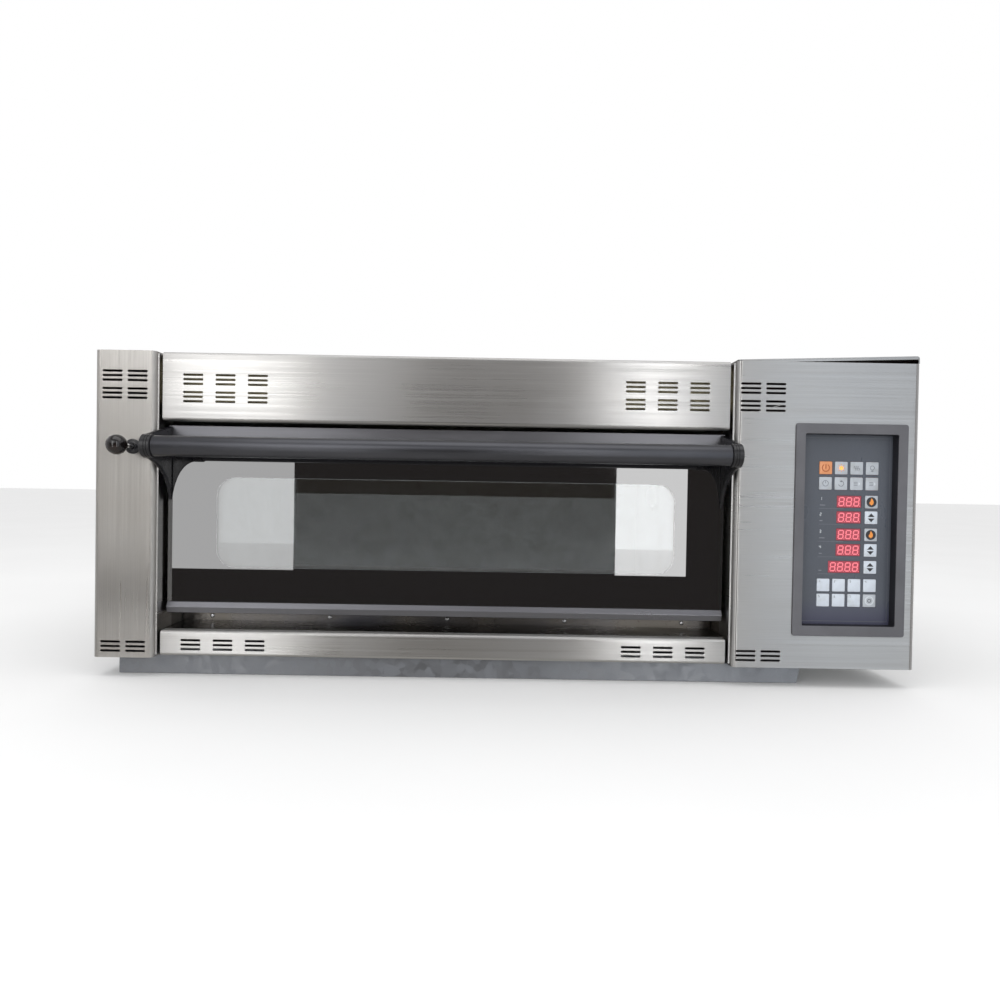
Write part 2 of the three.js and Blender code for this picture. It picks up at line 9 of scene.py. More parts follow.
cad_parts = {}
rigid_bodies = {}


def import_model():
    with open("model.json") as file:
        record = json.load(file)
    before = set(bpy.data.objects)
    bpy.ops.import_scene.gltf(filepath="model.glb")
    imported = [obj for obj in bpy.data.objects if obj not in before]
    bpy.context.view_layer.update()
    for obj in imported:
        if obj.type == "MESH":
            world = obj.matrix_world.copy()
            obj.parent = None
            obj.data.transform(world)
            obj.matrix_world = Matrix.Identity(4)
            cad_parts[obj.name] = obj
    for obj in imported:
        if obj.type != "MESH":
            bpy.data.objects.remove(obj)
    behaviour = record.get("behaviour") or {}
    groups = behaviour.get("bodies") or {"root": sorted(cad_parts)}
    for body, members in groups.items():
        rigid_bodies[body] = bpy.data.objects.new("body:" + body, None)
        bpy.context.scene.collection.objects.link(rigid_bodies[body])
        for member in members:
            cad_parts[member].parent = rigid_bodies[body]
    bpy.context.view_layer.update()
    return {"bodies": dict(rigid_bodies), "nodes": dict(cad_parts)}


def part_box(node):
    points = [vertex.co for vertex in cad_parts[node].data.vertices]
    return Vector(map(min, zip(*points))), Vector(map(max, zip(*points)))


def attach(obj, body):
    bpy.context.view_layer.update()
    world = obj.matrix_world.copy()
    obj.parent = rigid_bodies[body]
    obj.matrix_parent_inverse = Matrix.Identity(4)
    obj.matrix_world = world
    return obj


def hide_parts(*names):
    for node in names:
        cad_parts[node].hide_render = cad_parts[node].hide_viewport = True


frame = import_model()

MM = 0.001
TIP = 0.01 * MM

# ------------------------------------------------------------------ places taken from the frame

COLUMN_LOW, COLUMN_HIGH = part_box("left_column_front")
CABINET_LOW, CABINET_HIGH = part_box("control_front_panel")
FASCIA_LOW, FASCIA_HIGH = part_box("upper_fascia")
SKIRT_LOW, SKIRT_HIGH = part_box("lower_fascia")
GLASS_LOW, GLASS_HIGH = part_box("door_glass")
BAR_LOW, BAR_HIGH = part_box("handle_bar")
BAR_AXIS = ((BAR_LOW.y + BAR_HIGH.y) / 2, (BAR_LOW.z + BAR_HIGH.z) / 2)
BEZEL_LOW, BEZEL_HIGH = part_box("control_bezel")
OVERLAY_LOW, OVERLAY_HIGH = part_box("overlay_panel")
FRONT_Y = COLUMN_LOW.y
SHEET = 2 * MM
BEND = 7 * MM
OPENING_X = (FASCIA_LOW.x + FASCIA_HIGH.x) / 2
LID_TILT = math.radians(2)


# ------------------------------------------------------------------ node helpers

def new_material(name):
    made = bpy.data.materials.new(name)
    made.use_nodes = True
    tree = made.node_tree
    return made, tree, tree.nodes["Principled BSDF"]


def feed(tree, socket, value):
    """Links an output to the socket, or sets the socket's own value."""
    if isinstance(value, bpy.types.NodeSocket):
        tree.links.new(value, socket)
    else:
        socket.default_value = value


def add(tree, kind, inputs=None, **settings):
    made = tree.nodes.new(kind)
    for key, value in settings.items():
        setattr(made, key, value)
    for key, value in (inputs or {}).items():
        feed(tree, made.inputs[key], value)
    return made


def set_inputs(tree, shader, **values):
    for key, value in values.items():
        feed(tree, shader.inputs[key.replace("_", " ")], value)


def object_coords(tree, scale=(1, 1, 1)):
    coords = add(tree, "ShaderNodeTexCoord")
    mapping = add(tree, "ShaderNodeMapping", {"Vector": coords.outputs["Object"], "Scale": scale})
    return mapping.outputs["Vector"]


def noise(tree, scale, stretch=(1, 1, 1), detail=4.0, roughness=0.5):
    made = add(tree, "ShaderNodeTexNoise", {"Vector": object_coords(tree, stretch), "Scale": scale,
                                            "Detail": detail, "Roughness": roughness})
    return made.outputs["Fac"]


def ramp(tree, factor, low, high, into=(0.0, 1.0)):
    made = add(tree, "ShaderNodeMapRange", {"Value": factor, "From Min": low, "From Max": high,
                                            "To Min": into[0], "To Max": into[1]})
    return made.outputs["Result"]


def blend_colors(tree, factor, first, second):
    made = add(tree, "ShaderNodeMix", data_type="RGBA")
    feed(tree, made.inputs[0], factor)
    for number, color in ((6, first), (7, second)):
        feed(tree, made.inputs[number], color if isinstance(color, bpy.types.NodeSocket) else (*color, 1.0))
    return made.outputs[2]


def math_node(tree, operation, *values):
    return add(tree, "ShaderNodeMath", dict(enumerate(values)), operation=operation).outputs[0]


def bump(tree, height, strength, distance, after=None):
    inputs = {"Height": height, "Strength": strength, "Distance": distance}
    if after is not None:
        inputs["Normal"] = after
    return add(tree, "ShaderNodeBump", inputs).outputs["Normal"]


# ------------------------------------------------------------------ metals

def streak_direction(tree, grain):
    """Highlights on brushed metal stretch across the grain, so this is at right angles to it and to the normal."""
    normal = add(tree, "ShaderNodeNewGeometry").outputs["True Normal"]
    return add(tree, "ShaderNodeVectorMath", {0: grain, 1: normal}, operation="CROSS_PRODUCT").outputs["Vector"]


BRUSHED_ROUGHNESS = 0.32
BRUSHED_ANISOTROPY = 0.92


def brushed(name, color, fine=(5, 1500, 1500), grain=(1, 0.03, 0.02), tint=(0.9, 0.94, 1.0)):
    """Brushed sheet: hair lines along the grain, slow smudges, and a few longer scratches."""
    made, tree, shader = new_material(name)
    hair = noise(tree, 1.0, fine, detail=5.0, roughness=0.65)
    broad = noise(tree, 1.0, tuple(v * 0.22 for v in fine), detail=3.0)
    smudge = noise(tree, 5.0, detail=3.0)
    dark = tuple(c * 0.8 for c in color)
    base = blend_colors(tree, ramp(tree, hair, 0.3, 0.7), dark, color)
    base = blend_colors(tree, ramp(tree, smudge, 0.4, 0.75, (0.0, 0.35)), base,
                        tuple(c * t for c, t in zip(color, tint)))
    even = ramp(tree, broad, 0.25, 0.75, (BRUSHED_ROUGHNESS - 0.06, BRUSHED_ROUGHNESS + 0.08))
    rough = math_node(tree, "ADD", even, ramp(tree, smudge, 0.35, 0.7, (-0.03, 0.05)))
    relief = bump(tree, hair, 0.22, 0.00012)
    relief = bump(tree, broad, 0.05, 0.0002, relief)
    set_inputs(tree, shader, Base_Color=base, Metallic=1.0, Roughness=rough, Anisotropic=BRUSHED_ANISOTROPY,
               Normal=relief, Tangent=streak_direction(tree, grain))
    return made


def heat_tinted(name):
    """Smooth dark stainless with straw and blue heat colours and dried splashes."""
    made, tree, shader = new_material(name)
    cloud = noise(tree, 7.0, (1, 2, 1), detail=5.0)
    spots = noise(tree, 160.0, detail=2.0)
    base = blend_colors(tree, ramp(tree, cloud, 0.35, 0.6), (0.15, 0.15, 0.165), (0.21, 0.195, 0.175))
    base = blend_colors(tree, ramp(tree, spots, 0.62, 0.7, (0.0, 0.5)), base, (0.12, 0.10, 0.08))
    rough = ramp(tree, cloud, 0.3, 0.7, (0.16, 0.34))
    set_inputs(tree, shader, Base_Color=base, Metallic=1.0, Roughness=rough,
               Normal=bump(tree, noise(tree, 30.0, detail=3.0), 0.03, 0.0003))
    return made


def galvanised(name, dark=(0.42, 0.44, 0.46), pale=(0.62, 0.64, 0.66)):
    made, tree, shader = new_material(name)
    flakes = add(tree, "ShaderNodeTexVoronoi", {"Vector": object_coords(tree), "Scale": 90.0, "Randomness": 1.0})
    shade = add(tree, "ShaderNodeSeparateColor", {"Color": flakes.outputs["Color"]}).outputs["Red"]
    grime = noise(tree, 9.0, detail=5.0)
    base = blend_colors(tree, shade, dark, pale)
    base = blend_colors(tree, ramp(tree, grime, 0.5, 0.75, (0.0, 0.45)), base, tuple(0.85 * c for c in dark))
    set_inputs(tree, shader, Base_Color=base, Metallic=0.9, Roughness=ramp(tree, shade, 0.0, 1.0, (0.36, 0.55)),
               Normal=bump(tree, grime, 0.1, 0.0008))
    return made


def chamber_sheet(name):
    """Dull aluminised sheet with a baked-on brown film."""
    made, tree, shader = new_material(name)
    film = noise(tree, 6.0, detail=6.0, roughness=0.6)
    base = blend_colors(tree, ramp(tree, film, 0.38, 0.68), (0.42, 0.41, 0.39), (0.20, 0.165, 0.13))
    set_inputs(tree, shader, Base_Color=base, Metallic=0.85, Roughness=ramp(tree, film, 0.3, 0.7, (0.42, 0.62)),
               Normal=bump(tree, noise(tree, 220.0, detail=2.0), 0.12, 0.0002))
    return made


def element_sheath(name):
    made, tree, shader = new_material(name)
    scale = noise(tree, 140.0, detail=5.0)
    base = blend_colors(tree, ramp(tree, scale, 0.4, 0.65), (0.075, 0.07, 0.068), (0.16, 0.11, 0.075))
    set_inputs(tree, shader, Base_Color=base, Metallic=0.6, Roughness=0.6, Normal=bump(tree, scale, 0.3, 0.0003))
    return made


def anodised(name, color=(0.078, 0.079, 0.088)):
    """Satin anodised extrusion with die lines along its length."""
    made, tree, shader = new_material(name)
    lines = noise(tree, 1.0, (2, 900, 900), detail=3.0)
    wear = noise(tree, 8.0, (0.6, 3, 3), detail=4.0)
    base = blend_colors(tree, ramp(tree, wear, 0.45, 0.7, (0.0, 0.6)), color, tuple(c * 1.55 for c in color))
    rough = ramp(tree, wear, 0.3, 0.75, (0.27, 0.4))
    set_inputs(tree, shader, Base_Color=base, Metallic=0.85, Roughness=rough, Normal=bump(tree, lines, 0.15, 0.00012))
    return made


def chrome(name):
    made, tree, shader = new_material(name)
    haze = noise(tree, 60.0, detail=3.0)
    base = blend_colors(tree, ramp(tree, haze, 0.45, 0.7), (0.72, 0.73, 0.75), (0.60, 0.60, 0.60))
    set_inputs(tree, shader, Base_Color=base, Metallic=1.0, Roughness=ramp(tree, haze, 0.3, 0.7, (0.06, 0.2)),
               Normal=bump(tree, noise(tree, 1.0, (900, 30, 900)), 0.06, 0.0001))
    return made


# ------------------------------------------------------------------ coatings, plastics, stone and glass

def lacquered_casting(name):
    """Black lacquer over a casting: faint orange peel, rubbed where hands reach it."""
    made, tree, shader = new_material(name)
    rub = noise(tree, 22.0, detail=5.0)
    base = blend_colors(tree, ramp(tree, rub, 0.5, 0.78, (0.0, 1.0)), (0.006, 0.006, 0.008), (0.018, 0.017, 0.019))
    relief = bump(tree, noise(tree, 480.0, detail=1.0), 0.18, 0.00025)
    set_inputs(tree, shader, Base_Color=base, Roughness=ramp(tree, rub, 0.3, 0.75, (0.2, 0.38)), Coat_Weight=0.12,
               Coat_Roughness=0.12, Normal=relief)
    return made


def phenolic(name):
    made, tree, shader = new_material(name)
    swirl = noise(tree, 45.0, (1, 2.5, 1), detail=6.0)
    base = blend_colors(tree, ramp(tree, swirl, 0.45, 0.7), (0.006, 0.005, 0.005), (0.016, 0.009, 0.007))
    set_inputs(tree, shader, Base_Color=base, Roughness=ramp(tree, swirl, 0.3, 0.8, (0.05, 0.14)), Coat_Weight=0.3,
               Coat_Roughness=0.03, Normal=bump(tree, noise(tree, 700.0), 0.03, 0.0001))
    return made


def moulded(name, color, lighter, roughness=0.5):
    """Moulded plastic with a fine spark-eroded texture and a slight polish from handling."""
    made, tree, shader = new_material(name)
    handling = noise(tree, 14.0, detail=4.0)
    texture = noise(tree, 1500.0, detail=2.0)
    base = blend_colors(tree, ramp(tree, handling, 0.35, 0.7), color, lighter)
    rough = ramp(tree, handling, 0.3, 0.7, (roughness - 0.07, roughness + 0.06))
    set_inputs(tree, shader, Base_Color=base, Roughness=rough, Normal=bump(tree, texture, 0.25, 0.00012))
    return made


def overlay_film(name):
    """Printed film: a slate field, a lighter pinstripe round it and a darker foot, under a satin hard coat."""
    made, tree, shader = new_material(name)
    place = add(tree, "ShaderNodeSeparateXYZ", {"Vector": object_coords(tree)})
    centre = (OVERLAY_LOW + OVERLAY_HIGH) / 2
    half = Vector((0.0705, 0, 0.149))
    across = math_node(tree, "ABSOLUTE", math_node(tree, "SUBTRACT", place.outputs["X"], centre.x))
    along = math_node(tree, "ABSOLUTE", math_node(tree, "SUBTRACT", place.outputs["Z"], centre.z))
    edge = math_node(tree, "MAXIMUM", math_node(tree, "SUBTRACT", across, half.x),
                     math_node(tree, "SUBTRACT", along, half.z))
    line = math_node(tree, "LESS_THAN", math_node(tree, "ABSOLUTE", edge), 0.0005)
    foot = ramp(tree, place.outputs["Z"], OVERLAY_LOW.z + 0.055, OVERLAY_LOW.z + 0.02)
    print_grain = noise(tree, 900.0, detail=1.0)
    smear = noise(tree, 18.0, (1, 1, 0.5), detail=4.0)
    slate = blend_colors(tree, ramp(tree, print_grain, 0.35, 0.65), (0.068, 0.076, 0.094), (0.080, 0.089, 0.108))
    base = blend_colors(tree, foot, slate, (0.058, 0.060, 0.098))
    base = blend_colors(tree, line, base, (0.10, 0.108, 0.128))
    rough = ramp(tree, smear, 0.35, 0.7, (0.26, 0.46))
    set_inputs(tree, shader, Base_Color=base, Roughness=rough, Normal=bump(tree, print_grain, 0.08, 0.00008))
    return made


def key_film(name, color):
    """A printed key cap under clear film, a little yellowed and scuffed in its middle."""
    made, tree, shader = new_material(name)
    scuff = noise(tree, 70.0, detail=5.0)
    worn = tuple(c * f for c, f in zip(color, (0.86, 0.85, 0.82)))
    base = blend_colors(tree, ramp(tree, scuff, 0.48, 0.72), color, worn)
    set_inputs(tree, shader, Base_Color=base, Roughness=ramp(tree, scuff, 0.3, 0.7, (0.3, 0.46)),
               Normal=bump(tree, noise(tree, 1100.0), 0.12, 0.00008))
    return made


def glowing(name, color, strength):
    made, tree, shader = new_material(name)
    cells = noise(tree, 400.0, detail=1.0)
    base = blend_colors(tree, ramp(tree, cells, 0.3, 0.7), tuple(c * 0.8 for c in color), color)
    set_inputs(tree, shader, Base_Color=base, Roughness=0.18, Emission_Color=base, Emission_Strength=strength,
               Normal=bump(tree, cells, 0.05, 0.0001))
    return made


def cordierite(name):
    """Fired stone: sandy speckle, pores, scorched patches and a little flour."""
    made, tree, shader = new_material(name)
    speckle = noise(tree, 420.0, detail=3.0)
    scorch = noise(tree, 5.0, detail=6.0, roughness=0.6)
    base = blend_colors(tree, ramp(tree, speckle, 0.35, 0.65), (0.46, 0.37, 0.26), (0.66, 0.57, 0.44))
    base = blend_colors(tree, ramp(tree, scorch, 0.5, 0.72, (0.0, 0.75)), base, (0.15, 0.105, 0.07))
    flour = ramp(tree, noise(tree, 11.0, detail=7.0), 0.6, 0.72, (0.0, 0.55))
    base = blend_colors(tree, flour, base, (0.86, 0.83, 0.77))
    relief = bump(tree, speckle, 0.35, 0.0005)
    relief = bump(tree, noise(tree, 1300.0, detail=1.0), 0.2, 0.0002, relief)
    set_inputs(tree, shader, Base_Color=base, Roughness=0.88, Normal=relief)
    return made


def mineral_wool(name):
    made, tree, shader = new_material(name)
    fibres = noise(tree, 90.0, (1, 1, 3), detail=8.0, roughness=0.7)
    base = blend_colors(tree, fibres, (0.42, 0.36, 0.20), (0.72, 0.66, 0.46))
    set_inputs(tree, shader, Base_Color=base, Roughness=0.95, Normal=bump(tree, fibres, 0.8, 0.002))
    return made


WINDOW_Z = 249.7 * MM
WINDOW_HALF = (377 * MM, 74 * MM)
WINDOW_RADIUS = 30 * MM
WINDOW_BLUR = 0.6 * MM


def rounded_window(tree, centre, half, radius):
    """1 inside a rounded rectangle in the XZ plane, 0 outside."""
    place = add(tree, "ShaderNodeSeparateXYZ", {"Vector": object_coords(tree)})
    reach = []
    for axis, middle, size in (("X", centre[0], half[0]), ("Z", centre[1], half[1])):
        distance = math_node(tree, "ABSOLUTE", math_node(tree, "SUBTRACT", place.outputs[axis], middle))
        reach.append(math_node(tree, "MAXIMUM", math_node(tree, "SUBTRACT", distance, size - radius), 0.0))
    squares = [math_node(tree, "MULTIPLY", value, value) for value in reach]
    corner = math_node(tree, "SQRT", math_node(tree, "ADD", *squares))
    return ramp(tree, corner, radius + WINDOW_BLUR, radius - WINDOW_BLUR)


def door_glass_material(name):
    """Mirror-tinted safety glass with a black enamel border around a clear, rounded window."""
    made, tree, shader = new_material(name)
    middle = (GLASS_LOW + GLASS_HIGH) / 2
    window = rounded_window(tree, (middle.x, WINDOW_Z), WINDOW_HALF, WINDOW_RADIUS)
    smear = noise(tree, 16.0, (1, 1, 0.6), detail=6.0)
    rough = ramp(tree, smear, 0.45, 0.8, (0.0, 0.06))
    base = blend_colors(tree, window, (0.004, 0.004, 0.005), (0.52, 0.55, 0.56))
    set_inputs(tree, shader, Base_Color=base, Transmission_Weight=window, Roughness=rough, IOR=1.52,
               Coat_Weight=1.0, Coat_IOR=2.05, Coat_Roughness=0.0)
    return made


def clear_glass(name, color=(0.86, 0.9, 0.9), haze=0.02):
    made, tree, shader = new_material(name)
    film = noise(tree, 20.0, detail=6.0)
    set_inputs(tree, shader, Base_Color=(*color, 1.0), Transmission_Weight=1.0, IOR=1.5,
               Roughness=ramp(tree, film, 0.4, 0.8, (0.0, haze)), Normal=bump(tree, film, 0.02, 0.0005))
    return made


def ink(name, color):
    made, tree, shader = new_material(name)
    grain = noise(tree, 1500.0, detail=1.0)
    base = blend_colors(tree, ramp(tree, grain, 0.3, 0.7), tuple(c * 0.85 for c in color), color)
    set_inputs(tree, shader, Base_Color=base, Roughness=0.42, Normal=bump(tree, grain, 0.1, 0.00005))
    return made


STEEL = (0.60, 0.59, 0.575)
MATERIALS = {
    "sheet": brushed("brushed_sheet", STEEL),
    "column": brushed("column_sheet", (0.68, 0.66, 0.63), fine=(1500, 1500, 5), grain=(0.02, 0.03, 1),
                      tint=(1.0, 0.96, 0.9)),
    "side": brushed("side_sheet", STEEL, fine=(1500, 5, 1500), grain=(0.03, 1, 0.02)),
    "dark_sheet": heat_tinted("heat_tinted_sheet"),
    "galvanised": galvanised("galvanised_sheet"),
    "base": galvanised("base_steel", (0.27, 0.28, 0.30), (0.33, 0.345, 0.375)),
    "chamber": chamber_sheet("chamber_sheet"),
    "stone": cordierite("cordierite_stone"),
    "element": element_sheath("element_sheath"),
    "wool": mineral_wool("mineral_wool"),
    "anodised": anodised("dark_anodised"),
    "rail": anodised("rail_anodised", (0.19, 0.19, 0.205)),
    "casting": lacquered_casting("black_lacquer"),
    "phenolic": phenolic("black_phenolic"),
    "chrome": chrome("chrome_plate"),
    "bezel": moulded("bezel_plastic", (0.095, 0.095, 0.105), (0.125, 0.125, 0.138)),
    # Near-black finish for the bezel window's inner wall: painted shade in the recess, on the same plastic as the
    # frame.
    "bezel_well_shade": moulded("bezel_well_shade", (0.010, 0.010, 0.014), (0.018, 0.018, 0.024), roughness=0.6),
    "overlay": overlay_film("overlay_film"),
    "door_glass": door_glass_material("door_glass_tint"),
    "clear_glass": clear_glass("clear_glass"),
    "lamp_glass": clear_glass("lamp_glass", (0.98, 0.93, 0.82), 0.3),
    "orange_key": key_film("orange_key", (0.70, 0.29, 0.13)),
    "grey_key": key_film("grey_key", (0.43, 0.46, 0.50)),
    "white_key": key_film("white_key", (0.58, 0.63, 0.70)),
    "display": glowing("display_filter", (0.34, 0.05, 0.07), 0.22),
    "digit": glowing("display_digit", (0.80, 0.18, 0.22), 0.45),
    "white_ink": ink("white_ink", (0.62, 0.65, 0.68)),
    "dark_ink": ink("dark_ink", (0.03, 0.03, 0.035)),
    "grey_ink": ink("grey_ink", (0.16, 0.17, 0.19)),
    "orange_ink": ink("orange_ink", (0.85, 0.30, 0.05)),
    "rust_ink": ink("rust_ink", (0.42, 0.11, 0.03)),
    "silver_ink": ink("silver_ink", (0.22, 0.23, 0.26)),
    "pale_ink": ink("pale_ink", (0.62, 0.66, 0.70)),
    "digit_orange": glowing("glowing_orange", (1.0, 0.36, 0.08), 0.9),
}


# ------------------------------------------------------------------ mesh helpers

def show(made):
    bpy.context.scene.collection.objects.link(made)


def baked_mesh(carrier):
    """The mesh of an object with its curve or modifiers applied. The object goes."""
    show(carrier)
    mesh = bpy.data.meshes.new_from_object(carrier.evaluated_get(bpy.context.evaluated_depsgraph_get()))
    bpy.data.objects.remove(carrier)
    return mesh


def link_piece(name, mesh, body, materials, replaces=()):
    made = bpy.data.objects.new(name, mesh)
    show(made)
    for key in materials:
        made.data.materials.append(MATERIALS[key])
    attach(made, body)
    if replaces:
        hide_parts(*replaces)
    return made


def from_bmesh(bm, smooth_angle=35):
    bmesh.ops.recalc_face_normals(bm, faces=bm.faces)
    mesh = bpy.data.meshes.new("mesh")
    bm.to_mesh(mesh)
    bm.free()
    mesh.polygons.foreach_set("use_smooth", [True] * len(mesh.polygons))
    mesh.set_sharp_from_angle(angle=math.radians(smooth_angle))
    return mesh


def weight_normals(piece):
    modifier = piece.modifiers.new("flat_faces", "WEIGHTED_NORMAL")
    modifier.keep_sharp = True
    modifier.weight = 100


def soften(node, material, body="casing", width=0.5 * MM, segments=2):
    """A copy of a CAD node whose hard edges are rolled, standing for the node."""
    bm = bmesh.new()
    bm.from_mesh(frame["nodes"][node].data)
    bmesh.ops.remove_doubles(bm, verts=bm.verts, dist=1e-6)
    bmesh.ops.dissolve_limit(bm, angle_limit=math.radians(0.5), verts=bm.verts, edges=bm.edges)
    piece = link_piece(f"{node}_shell", from_bmesh(bm, 50), body, [material], [node])
    rolled = piece.modifiers.new("rolled_edges", "BEVEL")
    rolled.width = width
    rolled.segments = segments
    rolled.limit_method = "ANGLE"
    rolled.angle_limit = math.radians(30)
    rolled.harden_normals = False
    weight_normals(piece)


def rounded_rect(half_x, half_z, radius, steps=4):
    """Points round a rectangle with round corners, anticlockwise from the right side's lower corner."""
    points = []
    for turn, (sx, sz) in enumerate(((1, -1), (1, 1), (-1, 1), (-1, -1))):
        for step in range(steps + 1):
            angle = math.radians(90 * (turn - 1) + 90 * step / steps)
            points.append((sx * (half_x - radius) + radius * math.cos(angle),
                           sz * (half_z - radius) + radius * math.sin(angle)))
    return points


def add_loop(bm, points):
    return [bm.verts.new(p) for p in points]


def bridge(bm, first, second, material=0):
    count = len(first)
    for i in range(count):
        face = bm.faces.new((first[i], first[(i + 1) % count], second[(i + 1) % count], second[i]))
        face.material_index = material


def cap(bm, loop, material=0):
    bm.faces.new(loop).material_index = material


def loft(bm, loops, closed=False, material=0):
    """Joins loops of points in turn. A closed row comes back to its first loop, and an open one is capped."""
    for first, second in zip(loops, loops[1:] + (loops[:1] if closed else [])):
        bridge(bm, first, second, material)
    if not closed:
        cap(bm, loops[0], material)
        cap(bm, loops[-1], material)


def turns(steps):
    return [2 * math.pi * i / steps for i in range(steps)]


def slab(bm, centre, half, radius, front, back, edge):
    """A rounded rectangular block facing -Y, with a rolled front edge."""
    loops = []
    for inset, y in ((0.0, back), (0.0, front + edge), (edge * 0.3, front + edge * 0.3), (edge, front)):
        outline = rounded_rect(half[0] - inset, half[1] - inset, radius - inset)
        loops.append(add_loop(bm, [(centre[0] + x, y, centre[1] + z) for x, z in outline]))
    loft(bm, loops)


def prism(bm, outline, front, back, material=0):
    """A flat plate with the given (x, z) outline, between two depths."""
    loft(bm, [add_loop(bm, [(x, y, z) for x, z in outline]) for y in (front, back)], material=material)


def ring(bm, centre, outer, inner, front, back, material=0, start=0.0, sweep=360.0, steps=24):
    """A flat ring, or an arc of one, in the XZ plane."""
    closed = sweep >= 360
    angles = [math.radians(start + sweep * i / steps) for i in range(steps if closed else steps + 1)]
    sections = []
    for angle in angles:
        corners = ((outer, front), (inner, front), (inner, back), (outer, back))
        sections.append([bm.verts.new((centre[0] + r * math.cos(angle), y, centre[1] + r * math.sin(angle)))
                         for r, y in corners])
    pairs = list(zip(sections, sections[1:])) + ([(sections[-1], sections[0])] if closed else [])
    for first, second in pairs:
        bridge(bm, first, second, material)
    if not closed:
        cap(bm, sections[0], material)
        cap(bm, sections[-1], material)


def turned_piece(name, profile, centre, axis, body, material, replaces=(), steps=64, closed=False):
    """Turns (radius, place) points about a line along X or Y. A solid's profile starts and ends near the line."""
    bm = bmesh.new()
    loops = []
    for radius, place in profile:
        points = []
        for angle in turns(steps):
            a, b = centre[0] + radius * math.cos(angle), centre[1] + radius * math.sin(angle)
            points.append((place, a, b) if axis == "x" else (a, place, b))
        loops.append(add_loop(bm, points))
    loft(bm, loops, closed)
    link_piece(name, from_bmesh(bm), body, [material], replaces)


# ------------------------------------------------------------------ folded sheet metal

class Profile:
    """The middle line of a folded sheet: straight runs joined by round bends."""

    def __init__(self, corners, radius):
        self.runs = []
        self.bends = []
        corners = [Vector(c) for c in corners]
        start = corners[0]
        length = 0.0
        for i in range(1, len(corners)):
            ahead = (corners[i] - corners[i - 1]).normalized()
            last = i == len(corners) - 1
            stop = corners[i] if last else corners[i] - ahead * radius
            self.runs.append((length, start, ahead, (stop - start).length))
            length += (stop - start).length
            if not last:
                after = (corners[i + 1] - corners[i]).normalized()
                centre = stop + after * radius
                self.bends.append((length, centre, ahead, after, radius))
                length += radius * math.pi / 2
                start = corners[i] + after * radius
        self.length = length

    def at(self, u):
        """The point and the left-hand normal at distance u along the middle line."""
        for start, centre, ahead, after, radius in self.bends:
            turned = (u - start) / (radius * math.pi / 2)
            if 0 < turned < 1:
                angle = turned * math.pi / 2
                outward = ahead * math.sin(angle) - after * math.cos(angle)
                side = 1 if ahead.x * after.y - ahead.y * after.x < 0 else -1
                return centre + outward * radius, outward * side
        run = max((r for r in self.runs if r[0] <= u + 1e-9), key=lambda r: r[0])
        start, point, ahead, _ = run
        return point + ahead * (u - start), Vector((-ahead.y, ahead.x))

    def flat(self, run, reach):
        """The distance along the middle line of a point that lies reach beyond the start of a straight run."""
        return self.runs[run][0] + reach


SHEET_EDGE = 0.35 * MM
BEND_STEPS = 8


def pattern_mesh(outlines, thickness):
    """The flat sheet before folding, with its holes and rolled edges, lying in XY with the thickness along Z."""
    curve = bpy.data.curves.new("pattern", "CURVE")
    curve.dimensions = "2D"
    curve.fill_mode = "BOTH"
    curve.extrude = thickness / 2 - SHEET_EDGE
    curve.bevel_depth = SHEET_EDGE
    curve.bevel_resolution = 1
    curve.offset = -SHEET_EDGE
    for outline in outlines:
        spline = curve.splines.new("POLY")
        spline.points.add(len(outline) - 1)
        for point, (x, y) in zip(spline.points, outline):
            point.co = (x, y, 0, 1)
        spline.use_cyclic_u = True
    mesh = baked_mesh(bpy.data.objects.new("pattern", curve))
    bpy.data.curves.remove(curve)
    return mesh


def fold(name, profile, span, holes, place, material, node, blank=None, thickness=SHEET):
    """Cuts the flat pattern, scores it at the bends and folds it. The blank and its holes are outlines in pattern
    coordinates, and place(point, along) puts a profile point at its distance along the other axis."""
    height = span[1] - span[0]
    blank = blank or [(0, 0), (profile.length, 0), (profile.length, height), (0, height)]
    mesh = pattern_mesh([blank, *holes], thickness)
    bm = bmesh.new()
    bm.from_mesh(mesh)
    bpy.data.meshes.remove(mesh)
    bmesh.ops.remove_doubles(bm, verts=bm.verts, dist=2e-6)
    for start, _, _, _, radius in profile.bends:
        for step in range(BEND_STEPS + 1):
            u = start + radius * math.pi / 2 * step / BEND_STEPS
            bmesh.ops.bisect_plane(bm, geom=bm.verts[:] + bm.edges[:] + bm.faces[:], plane_co=(u, 0, 0),
                                   plane_no=(1, 0, 0), dist=1e-7)
    for vert in bm.verts:
        point, normal = profile.at(min(max(vert.co.x, 0.0), profile.length))
        vert.co = place(point + normal * vert.co.z, span[0] + vert.co.y)
    piece = link_piece(name, from_bmesh(bm, 50), "casing", [material], [node])
    weight_normals(piece)
    return piece


# ------------------------------------------------------------------ ventilation slots

SLOT_LENGTH = 31.5 * MM
SLOT_HEIGHT = 3.5 * MM
SLOT_PITCH = 7.3 * MM
SLOTS_PER_GROUP = 3
COLUMN_VENTS = (0.4835, 0.4555)
VENTS = (0.4805, 0.4525)
LOW_VENTS = 0.051


def slot_outline(u, v, half_u, half_v):
    """A slot with round ends, whose long way is the larger half-size."""
    radius = min(half_u, half_v) * 0.8
    return [(u + a, v + b) for a, b in rounded_rect(half_u, half_v, radius, 5)]


def slot_groups(centres, rows):
    """The (across, up) centres of every slot."""
    offsets = [(i - (SLOTS_PER_GROUP - 1) / 2) * SLOT_PITCH for i in range(SLOTS_PER_GROUP)]
    return [(x, z + offset) for x in centres for z in rows for offset in offsets]


def circle_outline(u, v, radius):
    return [(u + radius * math.cos(angle), v + radius * math.sin(angle)) for angle in turns(32)]


def upright(point, along):
    return Vector((point.x, FRONT_Y + point.y, along))


def crosswise(point, along):
    return Vector((along, FRONT_Y + point.x, point.y))


# ------------------------------------------------------------------ folded casing parts

HALF_SHEET = SHEET / 2
PANEL_EDGE = 14 * MM


